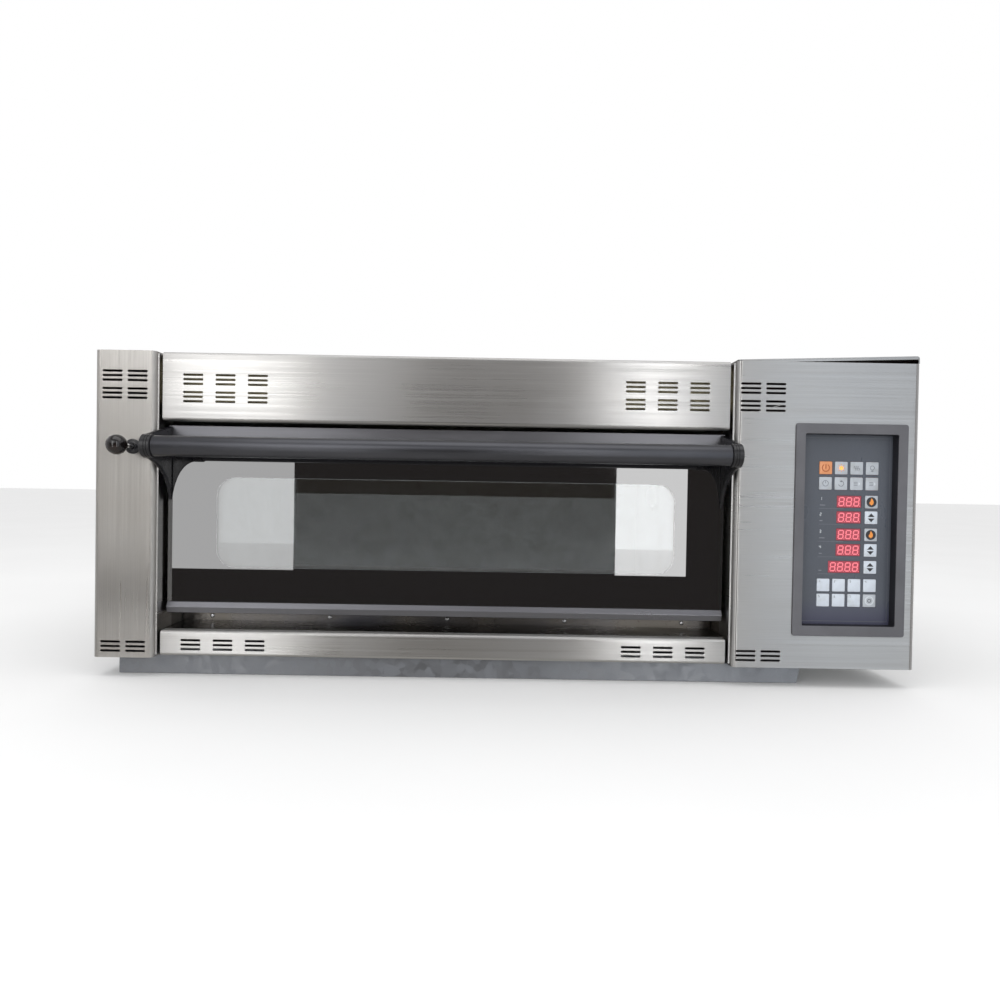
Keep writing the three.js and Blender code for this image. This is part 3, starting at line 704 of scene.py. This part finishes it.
def left_column():
    x0, x1 = COLUMN_LOW.x + HALF_SHEET, COLUMN_HIGH.x - HALF_SHEET
    back = COLUMN_HIGH.y - FRONT_Y
    profile = Profile([(x0, PANEL_EDGE), (x0, HALF_SHEET), (x1, HALF_SHEET), (x1, back)], BEND)
    span = (COLUMN_LOW.z, COLUMN_HIGH.z)
    height = span[1] - span[0]
    notch_u = profile.flat(2, 28 * MM - HALF_SHEET - BEND)
    notch_v = height - 2.3 * MM
    blank = [(0, 0), (profile.length, 0), (profile.length, notch_v), (notch_u, notch_v), (notch_u, height),
             (0, height)]
    across = profile.flat(1, -x0 - BEND)
    damper = (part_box("damper_rod")[0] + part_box("damper_rod")[1]) / 2
    groups = slot_groups((-0.632, -0.592), (*COLUMN_VENTS, LOW_VENTS - 1 * MM))
    holes = [slot_outline(across + x, z - span[0], SLOT_LENGTH / 2, SLOT_HEIGHT / 2) for x, z in groups]
    holes.append(circle_outline(across + damper.x, damper.z - span[0], 5 * MM))
    fold("left_column_sheet", profile, span, holes, upright, "column", "left_column_front",
                blank)


def control_panel_sheet():
    x0, x1 = CABINET_LOW.x + HALF_SHEET, CABINET_HIGH.x - HALF_SHEET
    back = CABINET_HIGH.y - FRONT_Y
    profile = Profile([(x0, back), (x0, HALF_SHEET), (x1, HALF_SHEET), (x1, PANEL_EDGE)], BEND)
    span = (CABINET_LOW.z, CABINET_HIGH.z)
    across = profile.flat(1, -x0 - BEND)
    holes = [slot_outline(across + x, z - span[0], SLOT_LENGTH / 2, SLOT_HEIGHT / 2)
             for x, z in slot_groups((0.3885, 0.4285), (*VENTS, LOW_VENTS))]
    centre = (BEZEL_LOW + BEZEL_HIGH) / 2
    half = (BEZEL_HIGH - BEZEL_LOW) / 2 - Vector((4, 0, 4)) * MM
    holes.append([(across + centre.x + a, centre.z - span[0] + b) for a, b in rounded_rect(half.x, half.z, 2 * MM)])
    fold("control_panel_sheet", profile, span, holes, upright, "sheet",
                "control_front_panel")


def fascia(name, node, low, high, rows):
    radius = 4 * MM
    front, back = low.y - FRONT_Y + HALF_SHEET, high.y - FRONT_Y
    bottom, top = low.z + HALF_SHEET, high.z - HALF_SHEET
    profile = Profile([(back, bottom), (front, bottom), (front, top), (back, top)], radius)
    up = profile.flat(1, -bottom - radius)
    columns = [OPENING_X + side * reach for side in (-1, 1) for reach in (0.3045, 0.3565, 0.4085)]
    holes = [slot_outline(up + z, x - low.x, SLOT_HEIGHT / 2, SLOT_LENGTH / 2) for x, z in slot_groups(columns, rows)]
    fold(name, profile, (low.x, high.x), holes, crosswise, "sheet", node)


def cabinet_lid():
    low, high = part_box("control_cabinet_lid")
    sine, cosine = math.sin(LID_TILT), math.cos(LID_TILT)
    pivot = Vector((CABINET_LOW.x + 2 * MM, CABINET_HIGH.z + 0.5 * MM))
    edge = CABINET_HIGH.x - CABINET_LOW.x - 4 * MM
    profile = Profile([(0, HALF_SHEET), (edge, HALF_SHEET), (edge, -10 * MM)], 3 * MM)

    def tilted(point, along):
        return Vector((pivot.x + point.x * cosine - point.y * sine, along,
                       pivot.y + point.x * sine + point.y * cosine))

    fold("cabinet_lid_sheet", profile, (low.y, high.y), [], tilted, "sheet",
         "control_cabinet_lid")
    bm = bmesh.new()
    sections = [(7 * MM, -3.4 * MM), (edge - 1 * MM, -3.4 * MM), (edge - 1 * MM, 0.4 * MM), (7 * MM, 0.4 * MM)]
    loft(bm, [add_loop(bm, [tilted(Vector(point), y) for point in sections])
              for y in (low.y + 0.1 * MM, low.y + SHEET)])
    lip = link_piece("cabinet_lid_lip", from_bmesh(bm), "casing", ["sheet"])
    rolled = lip.modifiers.new("rolled_edges", "BEVEL")
    rolled.width = 0.4 * MM
    rolled.segments = 2


# ------------------------------------------------------------------ fasteners

HEAD_RADIUS = 3.8 * MM
HEAD_HEIGHT = 1.5 * MM
TURN_PER_SCREW = 0.9


def screw_heads(name, places, direction):
    """Pan heads with a cross recess, each turned by a different amount."""
    bm = bmesh.new()
    turn = Vector((0, 0, 1)).rotation_difference(Vector(direction)).to_matrix()
    profile = [(1.0, 0.0, False), (1.0, 0.3, False), (0.88, 0.7, False), (0.66, 0.94, False), (0.5, 1.0, False),
               (0.47, 1.0, True), (0.38, 0.3, True)]
    for number, place in enumerate(places):
        loops = []
        for reach, rise, crossed in profile:
            points = []
            for angle in turns(32):
                size = HEAD_RADIUS * reach * (0.28 + 0.72 * abs(math.cos(2 * angle)) if crossed else 1)
                spun = angle + TURN_PER_SCREW * number
                points.append(Vector(place) + turn @ Vector((size * math.cos(spun), size * math.sin(spun),
                                                             rise * HEAD_HEIGHT)))
            loops.append(add_loop(bm, points))
        loft(bm, loops)
    link_piece(name, from_bmesh(bm, 40), "casing", ["chrome"])


def line_of(start, stop, count):
    start, stop = Vector(start), Vector(stop)
    return [start.lerp(stop, i / (count - 1)) for i in range(count)]


def casing():
    left_column()
    control_panel_sheet()
    fascia("upper_fascia_sheet", "upper_fascia", FASCIA_LOW, FASCIA_HIGH, VENTS)
    fascia("lower_fascia_sheet", "lower_fascia", SKIRT_LOW, SKIRT_HIGH, (LOW_VENTS + 0.9 * MM,))
    cabinet_lid()
    soften("base_frame", "base", width=1.2 * MM, segments=3)
    soften("back_panel", "galvanised", width=0.6 * MM)
    soften("top_cover", "sheet", width=0.6 * MM)
    for side in ("left", "right"):
        soften(f"{side}_side_panel", "side", width=0.7 * MM)
        soften(f"{side}_jamb", "side", width=0.5 * MM)
    soften("sill_plate", "dark_sheet", width=0.6 * MM)
    soften("hearth_front_strip", "dark_sheet", width=1.5 * MM, segments=3)
    low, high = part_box("hearth_front_strip")
    z = high.z - 13 * MM
    screw_heads("hearth_screws", line_of((OPENING_X - 0.41, low.y, z), (OPENING_X + 0.41, low.y, z), 5), (0, -1, 0))
    low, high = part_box("left_side_panel")
    rows = (low.z + 0.03, (low.z + high.z) / 2, high.z - 0.03)
    for side, x in ((-1, low.x), (1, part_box("right_side_panel")[1].x)):
        places = [p for z in rows for p in line_of((x, low.y + 0.05, z), (x, high.y - 0.05, z), 4)]
        sunk = Vector((side * HEAD_HEIGHT, 0, 0))
        screw_heads(f"{'left' if side < 0 else 'right'}_side_screws", [p - sunk for p in places], (side, 0, 0))
    low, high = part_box("back_panel")
    places = [p for z in (low.z + 0.02, high.z - 0.02)
              for p in line_of((low.x + 0.03, high.y, z), (high.x - 0.03, high.y, z), 7)]
    screw_heads("back_screws", places, (0, 1, 0))


# ------------------------------------------------------------------ baking chamber

def heating_tube(name, node):
    """A round tube bent into hairpins, in the middle of its square CAD solid."""
    low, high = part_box(node)
    pitch, radius, bend = 150 * MM, 4 * MM, 40 * MM
    front, back, z = 200 * MM, 790 * MM, (low.z + high.z) / 2
    corners = []
    for run in range(6):
        x = OPENING_X + (run - 2.5) * pitch
        ends = (front, back) if run % 2 == 0 else (back, front)
        corners += [(x, ends[0]), (x, ends[1])]
    profile = Profile(corners, bend)
    bm = bmesh.new()
    in_bends = (start + bend * math.pi / 2 * i / 10 for start, *_ in profile.bends for i in range(11))
    loops = []
    for u in sorted({0.0, profile.length, *(run[0] for run in profile.runs), *in_bends}):
        point, side = profile.at(u)
        loops.append(add_loop(bm, [(point.x + side.x * radius * math.cos(a),
                                    FRONT_Y + point.y + side.y * radius * math.cos(a),
                                    z + radius * math.sin(a)) for a in turns(16)]))
    loft(bm, loops)
    link_piece(name, from_bmesh(bm), "casing", ["element"], [node])


def lamp():
    low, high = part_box("chamber_lamp")
    centre = ((low.y + high.y) / 2, (low.z + high.z) / 2)
    wall = high.x
    rim = [(33, 0), (34, -0.8), (34, -3.4), (33, -4), (27, -5), (25.8, -4.2), (25.8, -1), (25.8, 0)]
    dome = [(0.01, -22), (6, -21.6), (12, -20.2), (16, -18.2), (20, -15), (23, -11), (25, -6.5), (25.5, -2),
            (25.5, -0.4), (0.01, -0.4)]
    rim, dome = ([(radius * MM, wall + depth * MM) for radius, depth in outline] for outline in (rim, dome))
    turned_piece("chamber_lamp_ring", rim, centre, "x", "casing", "chrome", steps=48, closed=True)
    turned_piece("chamber_lamp_dome", dome, centre, "x", "casing", "lamp_glass", ["chamber_lamp"],
                 steps=48)


def chamber():
    for stone in ("hearth_stone_left", "hearth_stone_right"):
        soften(stone, "stone", width=1.6 * MM, segments=3)
    heating_tube("upper_heating_tube", "upper_heating_element")
    heating_tube("lower_heating_tube", "lower_heating_element")
    lamp()
    for node in ("chamber_left_wall", "chamber_right_wall", "chamber_back_wall", "chamber_crown"):
        soften(node, "chamber", width=0.5 * MM)
    dress("floor_pan", "galvanised")
    dress("crown_insulation", "wool")


def dress(node, material):
    """Gives a CAD node that stays its finish."""
    slots = frame["nodes"][node].data.materials
    slots.clear()
    slots.append(MATERIALS[material])


# ------------------------------------------------------------------ door

def cast_bracket(side, node):
    """A remeshed casting with soft edges, and a turned hub with ring grooves on its end."""
    inner = BAR_LOW.x - 0.3 * MM if side < 0 else BAR_HIGH.x + 0.3 * MM
    outer = inner + side * 16 * MM
    casting = bpy.data.objects.new("casting", frame["nodes"][node].data.copy())
    remesh = casting.modifiers.new("remesh", "REMESH")
    remesh.mode = "VOXEL"
    remesh.voxel_size = 1.3 * MM
    smooth = casting.modifiers.new("smooth", "SMOOTH")
    smooth.factor = 0.5
    smooth.iterations = 5
    mesh = baked_mesh(casting)
    for vert in mesh.vertices:
        reach = Vector((vert.co.y - BAR_AXIS[0], vert.co.z - BAR_AXIS[1]))
        if reach.length < 18.6 * MM and (vert.co.x - inner) * side > -0.8 * MM:
            pulled = reach * min(1.0, 16.9 * MM / max(reach.length, 1e-6))
            vert.co.y, vert.co.z = BAR_AXIS[0] + pulled.x, BAR_AXIS[1] + pulled.y
            vert.co.x -= side * 0.6 * MM if (vert.co.x - outer) * side > -1.5 * MM else 0
    mesh.materials.clear()
    mesh.polygons.foreach_set("use_smooth", [True] * len(mesh.polygons))
    link_piece(f"{node}_casting", mesh, "door", ["casting"], [node])
    rings = [(16.4, 0.3), (17.2, 0.3), (17.9, 1.0), (17.9, 3.4), (17.2, 3.8), (17.2, 4.6), (17.9, 5.0), (17.9, 7.2),
             (17.2, 7.6), (17.2, 8.4), (17.9, 8.8), (17.9, 14.8), (17.2, 15.7), (14, 15.95), (0.01, 16)]
    profile = [(TIP, inner + side * 1.2 * MM), (16.4 * MM, inner + side * 1.2 * MM)]
    profile += [(radius * MM, inner + side * place * MM) for radius, place in rings]
    turned_piece(f"{node}_hub", profile, BAR_AXIS, "x", "door", "casting", steps=72)


def handle_bar():
    radius = (BAR_HIGH.z - BAR_LOW.z) / 2
    x0, x1 = BAR_LOW.x, BAR_HIGH.x
    profile = [(TIP, x0), (radius - 1.2 * MM, x0), (radius - 0.3 * MM, x0 + 0.4 * MM), (radius, x0 + 1.4 * MM)]
    profile += [(r, x1 - (x - x0)) for r, x in reversed(profile)]
    turned_piece("handle_bar_tube", profile, BAR_AXIS, "x", "door", "anodised", ["handle_bar"],
                 steps=96)


def door():
    soften("door_top_rail", "rail", "door", width=0.8 * MM, segments=3)
    soften("door_bottom_rail", "rail", "door", width=0.6 * MM, segments=3)
    soften("door_glass", "door_glass", "door", width=0.5 * MM)
    soften("door_inner_glass", "clear_glass", "door", width=0.5 * MM)
    cast_bracket(-1, "handle_bracket_left")
    cast_bracket(1, "handle_bracket_right")
    handle_bar()


# ------------------------------------------------------------------ steam damper

def damper():
    knob_low, knob_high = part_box("damper_knob")
    axis = ((knob_low.x + knob_high.x) / 2, (knob_low.z + knob_high.z) / 2)
    ball = (knob_high.x - knob_low.x) / 2
    centre = knob_low.y + ball
    neck = 6 * MM
    start = math.asin(neck / ball)
    profile = []
    for i in range(29):
        angle = math.pi - (math.pi - start) * i / 28
        profile.append((max(ball * math.sin(angle), TIP), centre + ball * math.cos(angle)))
    profile += [(neck, knob_high.y - 0.5 * MM), (neck - 0.5 * MM, knob_high.y), (TIP, knob_high.y)]
    turned_piece("damper_knob_ball", profile, axis, "y", "damper", "phenolic", ["damper_knob"])
    rod_low, rod_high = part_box("damper_rod")
    plate = rod_high.y - 3 * MM
    profile = [(TIP, rod_low.y), (3.6 * MM, rod_low.y), (4 * MM, rod_low.y + 0.5 * MM), (4 * MM, plate),
               (32.4 * MM, plate), (33 * MM, plate + 0.6 * MM), (33 * MM, rod_high.y - 0.6 * MM),
               (32.4 * MM, rod_high.y), (TIP, rod_high.y)]
    turned_piece("damper_rod_turned", profile, axis, "y", "damper", "chrome", ["damper_rod"],
                 steps=48)
    ring_low, ring_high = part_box("damper_rosette")
    outer = (ring_high.x - ring_low.x) / 2
    section = [(4.6 * MM, ring_high.y), (4.6 * MM, ring_low.y + 0.5 * MM), (5.1 * MM, ring_low.y),
               (8.6 * MM, ring_low.y), (9.4 * MM, ring_low.y + 0.3 * MM), (outer - 0.4 * MM, ring_low.y + 1.8 * MM),
               (outer, ring_low.y + 2.4 * MM), (outer, ring_high.y)]
    turned_piece("damper_rosette_turned", section, axis, "y", "casing", "casting",
                 ["damper_rosette"], closed=True)
    duct_low, duct_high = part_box("exhaust_duct")
    outer = (duct_high.x - duct_low.x) / 2
    wall = outer - 1 * MM
    section = [(wall - 2 * MM, duct_low.y), (outer - 0.4 * MM, duct_low.y), (outer, duct_low.y + 0.5 * MM),
               (outer, duct_low.y + 2.5 * MM), (wall, duct_low.y + 3 * MM), (wall, duct_high.y - 8 * MM),
               (wall + 0.8 * MM, duct_high.y - 7 * MM), (wall + 0.8 * MM, duct_high.y - 5 * MM),
               (wall, duct_high.y - 4 * MM), (wall, duct_high.y - 0.5 * MM), (wall - 0.5 * MM, duct_high.y),
               (wall - 1.5 * MM, duct_high.y), (wall - 2 * MM, duct_high.y - 0.5 * MM)]
    turned_piece("exhaust_duct_spun", section, axis, "y", "casing", "galvanised",
                 ["exhaust_duct"], closed=True)


# ------------------------------------------------------------------ control panel

def bezel():
    """A frame with rolled edges, and a deep sleeve behind it. The window's inner wall is painted near-black as
    painted shade.
    """
    centre = (BEZEL_LOW + BEZEL_HIGH) / 2
    half = (BEZEL_HIGH - BEZEL_LOW) / 2
    front, back = BEZEL_LOW.y, BEZEL_HIGH.y
    shoulder = FRONT_Y - 0.3 * MM
    window = (74.5 * MM, 154 * MM)
    sleeve = (half.x - 4.3 * MM, half.z - 4.3 * MM)
    sections = [
        (half.x, half.z, 4, shoulder), (half.x, half.z, 4, front + 0.9 * MM),
        (half.x - 0.3 * MM, half.z - 0.3 * MM, 3.8, front + 0.3 * MM),
        (half.x - 1.0 * MM, half.z - 1.0 * MM, 3.2, front), (window[0] + 1.4 * MM, window[1] + 1.4 * MM, 3.2, front),
        (window[0] + 0.4 * MM, window[1] + 0.4 * MM, 2.6, front + 0.4 * MM), (*window, 2.2, front + 1.4 * MM),
        (*window, 2.2, back), (*sleeve, 1.5, back), (*sleeve, 1.5, shoulder)]
    # This band is the window's inner wall, which takes the near-black painted-shade material.
    well = 6
    bm = bmesh.new()
    loops = []
    for half_x, half_z, radius, y in sections:
        outline = rounded_rect(half_x, half_z, radius * MM, 5)
        loops.append(add_loop(bm, [(centre.x + a, y, centre.z + b) for a, b in outline]))
    for number, (first, second) in enumerate(zip(loops, loops[1:] + loops[:1])):
        bridge(bm, first, second, 1 if number == well else 0)
    piece = link_piece("control_bezel_moulding", from_bmesh(bm, 40), "casing", ["bezel", "bezel_well_shade"],
                       ["control_bezel"])
    weight_normals(piece)


KEYS = sorted(name for name in frame["bodies"] if name.startswith("key_"))
KEY_GAP = 0.3 * MM
READOUT_HALF_Z = 9.8 * MM
DIGIT_HEIGHT = 15 * MM
DIGIT_STROKE = 1.9 * MM
INK = 0.06 * MM


def key_centre(name):
    low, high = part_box(name)
    return (low + high) / 2


def readouts():
    """(centre x, centre z, width, digits) of each display window, to the left of the key that sets it."""
    places = []
    for name in ("key_upper_heat", "key_upper_adjust", "key_lower_heat", "key_lower_adjust", "key_time_adjust"):
        low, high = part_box(name)
        digits = 4 if name == "key_time_adjust" else 3
        width = (52 if digits == 4 else 40) * MM
        places.append((low.x - 6 * MM - width / 2, (low.z + high.z) / 2, width, digits))
    return places


def overlay():
    """The printed panel, with an opening for each key and display."""
    low, high = OVERLAY_LOW, OVERLAY_HIGH
    thickness = high.y - low.y
    profile = Profile([(low.x, 0), (high.x, 0)], BEND)
    middle = (low.y + high.y) / 2

    def flat(point, along):
        return Vector((point.x, middle + point.y, along))

    holes = []
    for name in KEYS:
        key_low, key_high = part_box(name)
        centre, half = (key_low + key_high) / 2, (key_high.x - key_low.x) / 2 + KEY_GAP
        holes.append([(centre.x - low.x + a, centre.z - low.z + b) for a, b in rounded_rect(half, half, 1.6 * MM)])
    for x, z, width, _ in readouts():
        holes.append([(x - low.x + a, z - low.z + b) for a, b in rounded_rect(width / 2, READOUT_HALF_Z, 0.8 * MM)])
    fold("overlay_film_panel", profile, (low.z, high.z), holes, flat, "overlay", "overlay_panel",
         thickness=thickness)


SEGMENTS = {"1": "bc", "2": "abged", "3": "abgcd", "4": "fgbc", "5": "afgcd", "6": "afgedc", "7": "abc",
            "8": "abcdefg"}


def seven_segment(bm, digit, centre, width, height, stroke, front, back, material=0, slant=0.09):
    """One digit made of flat bars with pointed ends."""
    w, h, s = width / 2 - stroke / 2, height / 2 - stroke / 2, stroke / 2
    ends = {"a": ((-w, h), (w, h)), "b": ((w, h), (w, 0)), "c": ((w, 0), (w, -h)), "d": ((-w, -h), (w, -h)),
            "e": ((-w, 0), (-w, -h)), "f": ((-w, h), (-w, 0)), "g": ((-w, 0), (w, 0))}
    for letter in SEGMENTS[digit]:
        start, stop = (Vector(p) for p in ends[letter])
        along = (stop - start).normalized()
        side = Vector((-along.y, along.x)) * s
        tip = along * s * 0.25
        root = along * s * 1.1
        outline = [start + tip, start + root - side, stop - root - side,
                   stop - tip, stop - root + side, start + root + side]
        prism(bm, [(centre[0] + p.x + p.y * slant, centre[1] + p.y) for p in outline], front, back, material)


def displays():
    """The red filters are the board's modules, and the lit digits stand just proud of them."""
    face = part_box("display_board")[0].y
    front = face - 0.25 * MM
    bm = bmesh.new()
    for x, z, width, digits in readouts():
        pitch = (width - 3.4 * MM) / digits
        for i in range(digits):
            place = (x + (i - (digits - 1) / 2) * pitch, z)
            seven_segment(bm, "8", place, pitch - 2.6 * MM, DIGIT_HEIGHT, DIGIT_STROKE, front, face)
            point = (place[0] + pitch / 2 - 0.8 * MM, z - 6.9 * MM)
            ring(bm, point, 0.75 * MM, 0.05 * MM, front, face, steps=12)
    link_piece("display_digits", from_bmesh(bm, 30), "casing", ["digit"])
    soften("display_board", "display", width=0.3 * MM)


def bar_outline(x0, x1, z0, z1):
    return [(x0, z0), (x1, z0), (x1, z1), (x0, z1)]


def panel_prints():
    """Row numbers 1 to 4, plain bars where captions would be, and hairlines between the rows."""
    face = OVERLAY_LOW.y
    front = face - INK
    left = key_centre("key_power").x - 6.6 * MM
    bm = bmesh.new()
    for number, (x, z, width, _) in enumerate(readouts()):
        if number < 4:
            place = (left, z + 4.6 * MM)
            seven_segment(bm, str(number + 1), place, 3.2 * MM, 5.4 * MM, 0.9 * MM, front, face, 0, 0.0)
        caption = (4.4 if number in (0, 2) else 2.4) * MM
        start = left - 1.6 * MM
        prism(bm, bar_outline(start, start + 2 * caption, z - 6.6 * MM, z - 5.4 * MM), front, face, 1)
        stop = x - width / 2 + 12 * MM
        prism(bm, bar_outline(left - 3 * MM, stop, z - 11.7 * MM, z - 11.4 * MM), front, face, 1)
    link_piece("overlay_prints", from_bmesh(bm, 30), "casing", ["white_ink", "silver_ink"])


def triangle(x, z, half, height):
    """Points anticlockwise, up or down by the sign of its height."""
    side = math.copysign(half, height)
    return [(x - side, z), (x + side, z), (x, z + height)]


def key_icon(bm, name, c, front, back):
    """A plain mark for the key, in millimetres from its centre. Ink 1 is its main colour and 2 its second."""

    def arc(x, z, outer, inner=0.05, ink=1, start=0.0, sweep=360.0, steps=24):
        ring(bm, (c[0] + x * MM, c[1] + z * MM), outer * MM, inner * MM, front, back, ink, start, sweep, steps)

    def mark(outline, ink=1, near=front, far=back):
        prism(bm, [(c[0] + x * MM, c[1] + z * MM) for x, z in outline], near, far, ink)

    if name == "power":
        arc(0, 0, 6.6, 5.0, start=120, sweep=300)
        mark(bar_outline(-0.9, 0.9, -1.5, 6))
    elif name == "heat":
        arc(0, 0, 3.4)
        for turn in turns(8):
            arc(5.6 * math.cos(turn), 5.6 * math.sin(turn), 0.8, ink=2, steps=10)
    elif name in ("upper_heat", "lower_heat"):
        arc(0, 0, 8.2, steps=36)
        flame = [(0, 6.4), (2.4, 3.2), (3.6, 0), (3.1, -3.1), (0, -5.4), (-3.1, -3.1), (-3.4, -0.6), (-1.6, 1.4),
                 (-1.4, 3.6)]
        mark(reversed(flame), 2, front - INK, front)
    elif name.endswith("adjust"):
        mark(triangle(0, 1.2, 5.6, 6.0))
        mark(triangle(0, -1.2, 5.6, -6.0))
    elif name == "enter":
        arc(0, 0, 7.4, 5.6, steps=36)
        arc(0, 0, 3.2, 1.9, 2)
    elif name.startswith("program"):
        place = (c[0] - 6.6 * MM, c[1] + 6.2 * MM)
        seven_segment(bm, name[-1], place, 2.3 * MM, 3.8 * MM, 0.6 * MM, front, back, 1, 0.0)
    elif name == "steam":
        for shift in (-3, 0, 3):
            arc(shift, 1.6, 2.0, 1.2, start=90, sweep=180)
            arc(shift, -1.6, 2.0, 1.2, start=-90, sweep=180)
    elif name == "lamp":
        arc(0, 1, 3.8, 2.9)
        mark(bar_outline(-1.8, 1.8, -5, -3.6))
    elif name == "timer":
        arc(0, 0, 5, 4.1)
        mark(bar_outline(-0.4, 0.4, 0, 3.4))
    elif name == "vent":
        arc(0, 0, 4.8, 3.9, start=200, sweep=250)
        mark(triangle(0, 2.4, 1.8, 3))
    else:
        for row in (-2.4, 0, 2.4):
            mark(bar_outline(-4.6, 1.6, row - 0.4, row + 0.4))
        mark([(3.2, -3), (6.2, 0), (3.2, 3)], 2)


def keys():
    inks = {"power": ("rust_ink", "rust_ink"), "heat": ("digit_orange", "orange_ink"),
            "upper_heat": ("dark_ink", "orange_ink"), "lower_heat": ("dark_ink", "orange_ink"),
            "enter": ("pale_ink", "grey_ink")}
    for name in KEYS:
        low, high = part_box(name)
        centre, half = (low + high) / 2, (high - low) / 2
        short = name[4:]
        cap_material, slot = "grey_key", "grey_key"
        if short == "power":
            cap_material, slot = "orange_key", "orange_key"
        elif short.startswith("program") or short.endswith("adjust"):
            cap_material, slot = "white_key", "white_key"
        plain = ("dark_ink", "grey_ink") if short.endswith("adjust") else ("grey_ink", "pale_ink")
        first, second = inks.get(short, plain)
        bm = bmesh.new()
        front = low.y + 0.12 * MM
        slab(bm, (centre.x, centre.z), (half.x, half.z), 1.4 * MM, front, high.y, 0.5 * MM)
        key_icon(bm, short, (centre.x, centre.z), front - INK, front)
        link_piece(f"{name}_cap", from_bmesh(bm, 40), name, [cap_material, first, second], [name])


def control_panel():
    bezel()
    overlay()
    displays()
    panel_prints()
    keys()


# ------------------------------------------------------------------ surroundings

def plane_mesh(name, size_x, size_y):
    bm = bmesh.new()
    bmesh.ops.create_grid(bm, x_segments=1, y_segments=1, size=0.5)
    bmesh.ops.scale(bm, vec=(size_x, size_y, 1), verts=bm.verts)
    mesh = bpy.data.meshes.new(name)
    bm.to_mesh(mesh)
    bm.free()
    return mesh


def floor():
    made, tree, shader = new_material("pale_floor")
    mottling = noise(tree, 2.0, detail=5.0)
    base = blend_colors(tree, mottling, (0.83, 0.83, 0.83), (0.88, 0.88, 0.88))
    set_inputs(tree, shader, Base_Color=base, Roughness=0.8)
    piece = bpy.data.objects.new("floor", plane_mesh("floor", 60, 60))
    piece.data.materials.append(made)
    show(piece)
    piece.visible_glossy = False


def card(name, x, z, y, strength, color=(1.0, 1.0, 1.0)):
    """A luminous card in front of the oven, seen only in its reflections."""
    made, tree, shader = new_material(name)
    tree.nodes.remove(shader)
    glow = add(tree, "ShaderNodeEmission", {"Color": (*color, 1.0), "Strength": strength})
    tree.links.new(glow.outputs[0], tree.nodes["Material Output"].inputs["Surface"])
    piece = bpy.data.objects.new(name, plane_mesh(name, x[1] - x[0], z[1] - z[0]))
    piece.data.materials.append(made)
    piece.rotation_euler = (math.radians(90), 0, 0)
    piece.location = ((x[0] + x[1]) / 2, y, (z[0] + z[1]) / 2)
    show(piece)
    piece.visible_camera = False
    piece.visible_shadow = False


def soft_light(name, place, target, size, power):
    data = bpy.data.lights.new(name, "AREA")
    data.shape = "RECTANGLE"
    data.size, data.size_y = size
    data.energy = power
    light = bpy.data.objects.new(name, data)
    light.location = place
    light.rotation_euler = (Vector(target) - Vector(place)).to_track_quat("-Z", "Y").to_euler()
    show(light)


def world():
    made = bpy.data.worlds.new("studio")
    made.use_nodes = True
    tree = made.node_tree
    background = tree.nodes["Background"]
    path = add(tree, "ShaderNodeLightPath")
    direction = add(tree, "ShaderNodeSeparateXYZ", {"Vector": add(tree, "ShaderNodeTexCoord").outputs["Generated"]})
    height = direction.outputs["Z"]
    beside = ramp(tree, math_node(tree, "ABSOLUTE", direction.outputs["X"]), 0.6, 0.92)
    room = blend_colors(tree, beside, (0.080, 0.070, 0.062), (0.55, 0.55, 0.56))
    band = math_node(tree, "MULTIPLY", ramp(tree, height, 0.2, 0.36), ramp(tree, height, 0.8, 0.62))
    room = blend_colors(tree, band, room, (0.72, 0.72, 0.74))
    room = blend_colors(tree, ramp(tree, height, 0.7, 0.85), room, (0.5, 0.5, 0.5))
    room = blend_colors(tree, ramp(tree, height, -0.22, -0.45), room, (0.45, 0.44, 0.42))
    seen = blend_colors(tree, path.outputs["Is Glossy Ray"], (1.0, 1.0, 1.0), room)
    tree.links.new(seen, background.inputs["Color"])
    background.inputs["Strength"].default_value = 1.0
    bpy.context.scene.world = made


CAMERA_PLACE = (-0.0147, -1.6652, 0.3124)
CAMERA_TURN = (0.198, 0.843, 0.973)


def camera():
    """Straight on from 1.2 m, a little left of centre and lower than the handle bar. It turns by yaw, pitch, roll."""
    yaw, pitch, roll = (math.radians(degrees) for degrees in CAMERA_TURN)
    ahead = Vector((math.sin(yaw) * math.cos(pitch), math.cos(yaw) * math.cos(pitch), -math.sin(pitch)))
    right = Vector((math.cos(yaw), -math.sin(yaw), 0))
    up = right.cross(ahead)
    level = Matrix((right, up, -ahead)).transposed()
    data = bpy.data.cameras.new("camera")
    data.lens = 27.0
    data.sensor_width = 36.0
    made = bpy.data.objects.new("camera", data)
    turned = (level @ Matrix.Rotation(roll, 3, "Z")).to_4x4()
    made.matrix_world = Matrix.Translation(CAMERA_PLACE) @ turned
    show(made)
    bpy.context.scene.camera = made


casing()
chamber()
door()
damper()
control_panel()
floor()
for window, sides, strength in (("left_window", (-1.8, -1.1), 2.3), ("right_window", (0.62, 1.0), 3.7)):
    card(window, sides, (-0.14, 2.2), -3.2, strength)
    card(f"{window}_sill", sides, (-1.2, -0.33), -3.2, strength)
card("far_wall", (1.3, 2.6), (-1.2, 2.2), -3.2, 1.05, (0.87, 0.93, 1.0))
soft_light("overhead", (0, -0.9, 2.4), (0, 0, 0.3), (3.0, 1.6), 18)
soft_light("fill", (-1.2, -2.6, 1.3), (0, -0.4, 0.3), (1.6, 1.2), 5)
world()
camera()
bpy.context.scene.view_settings.view_transform = "Standard"
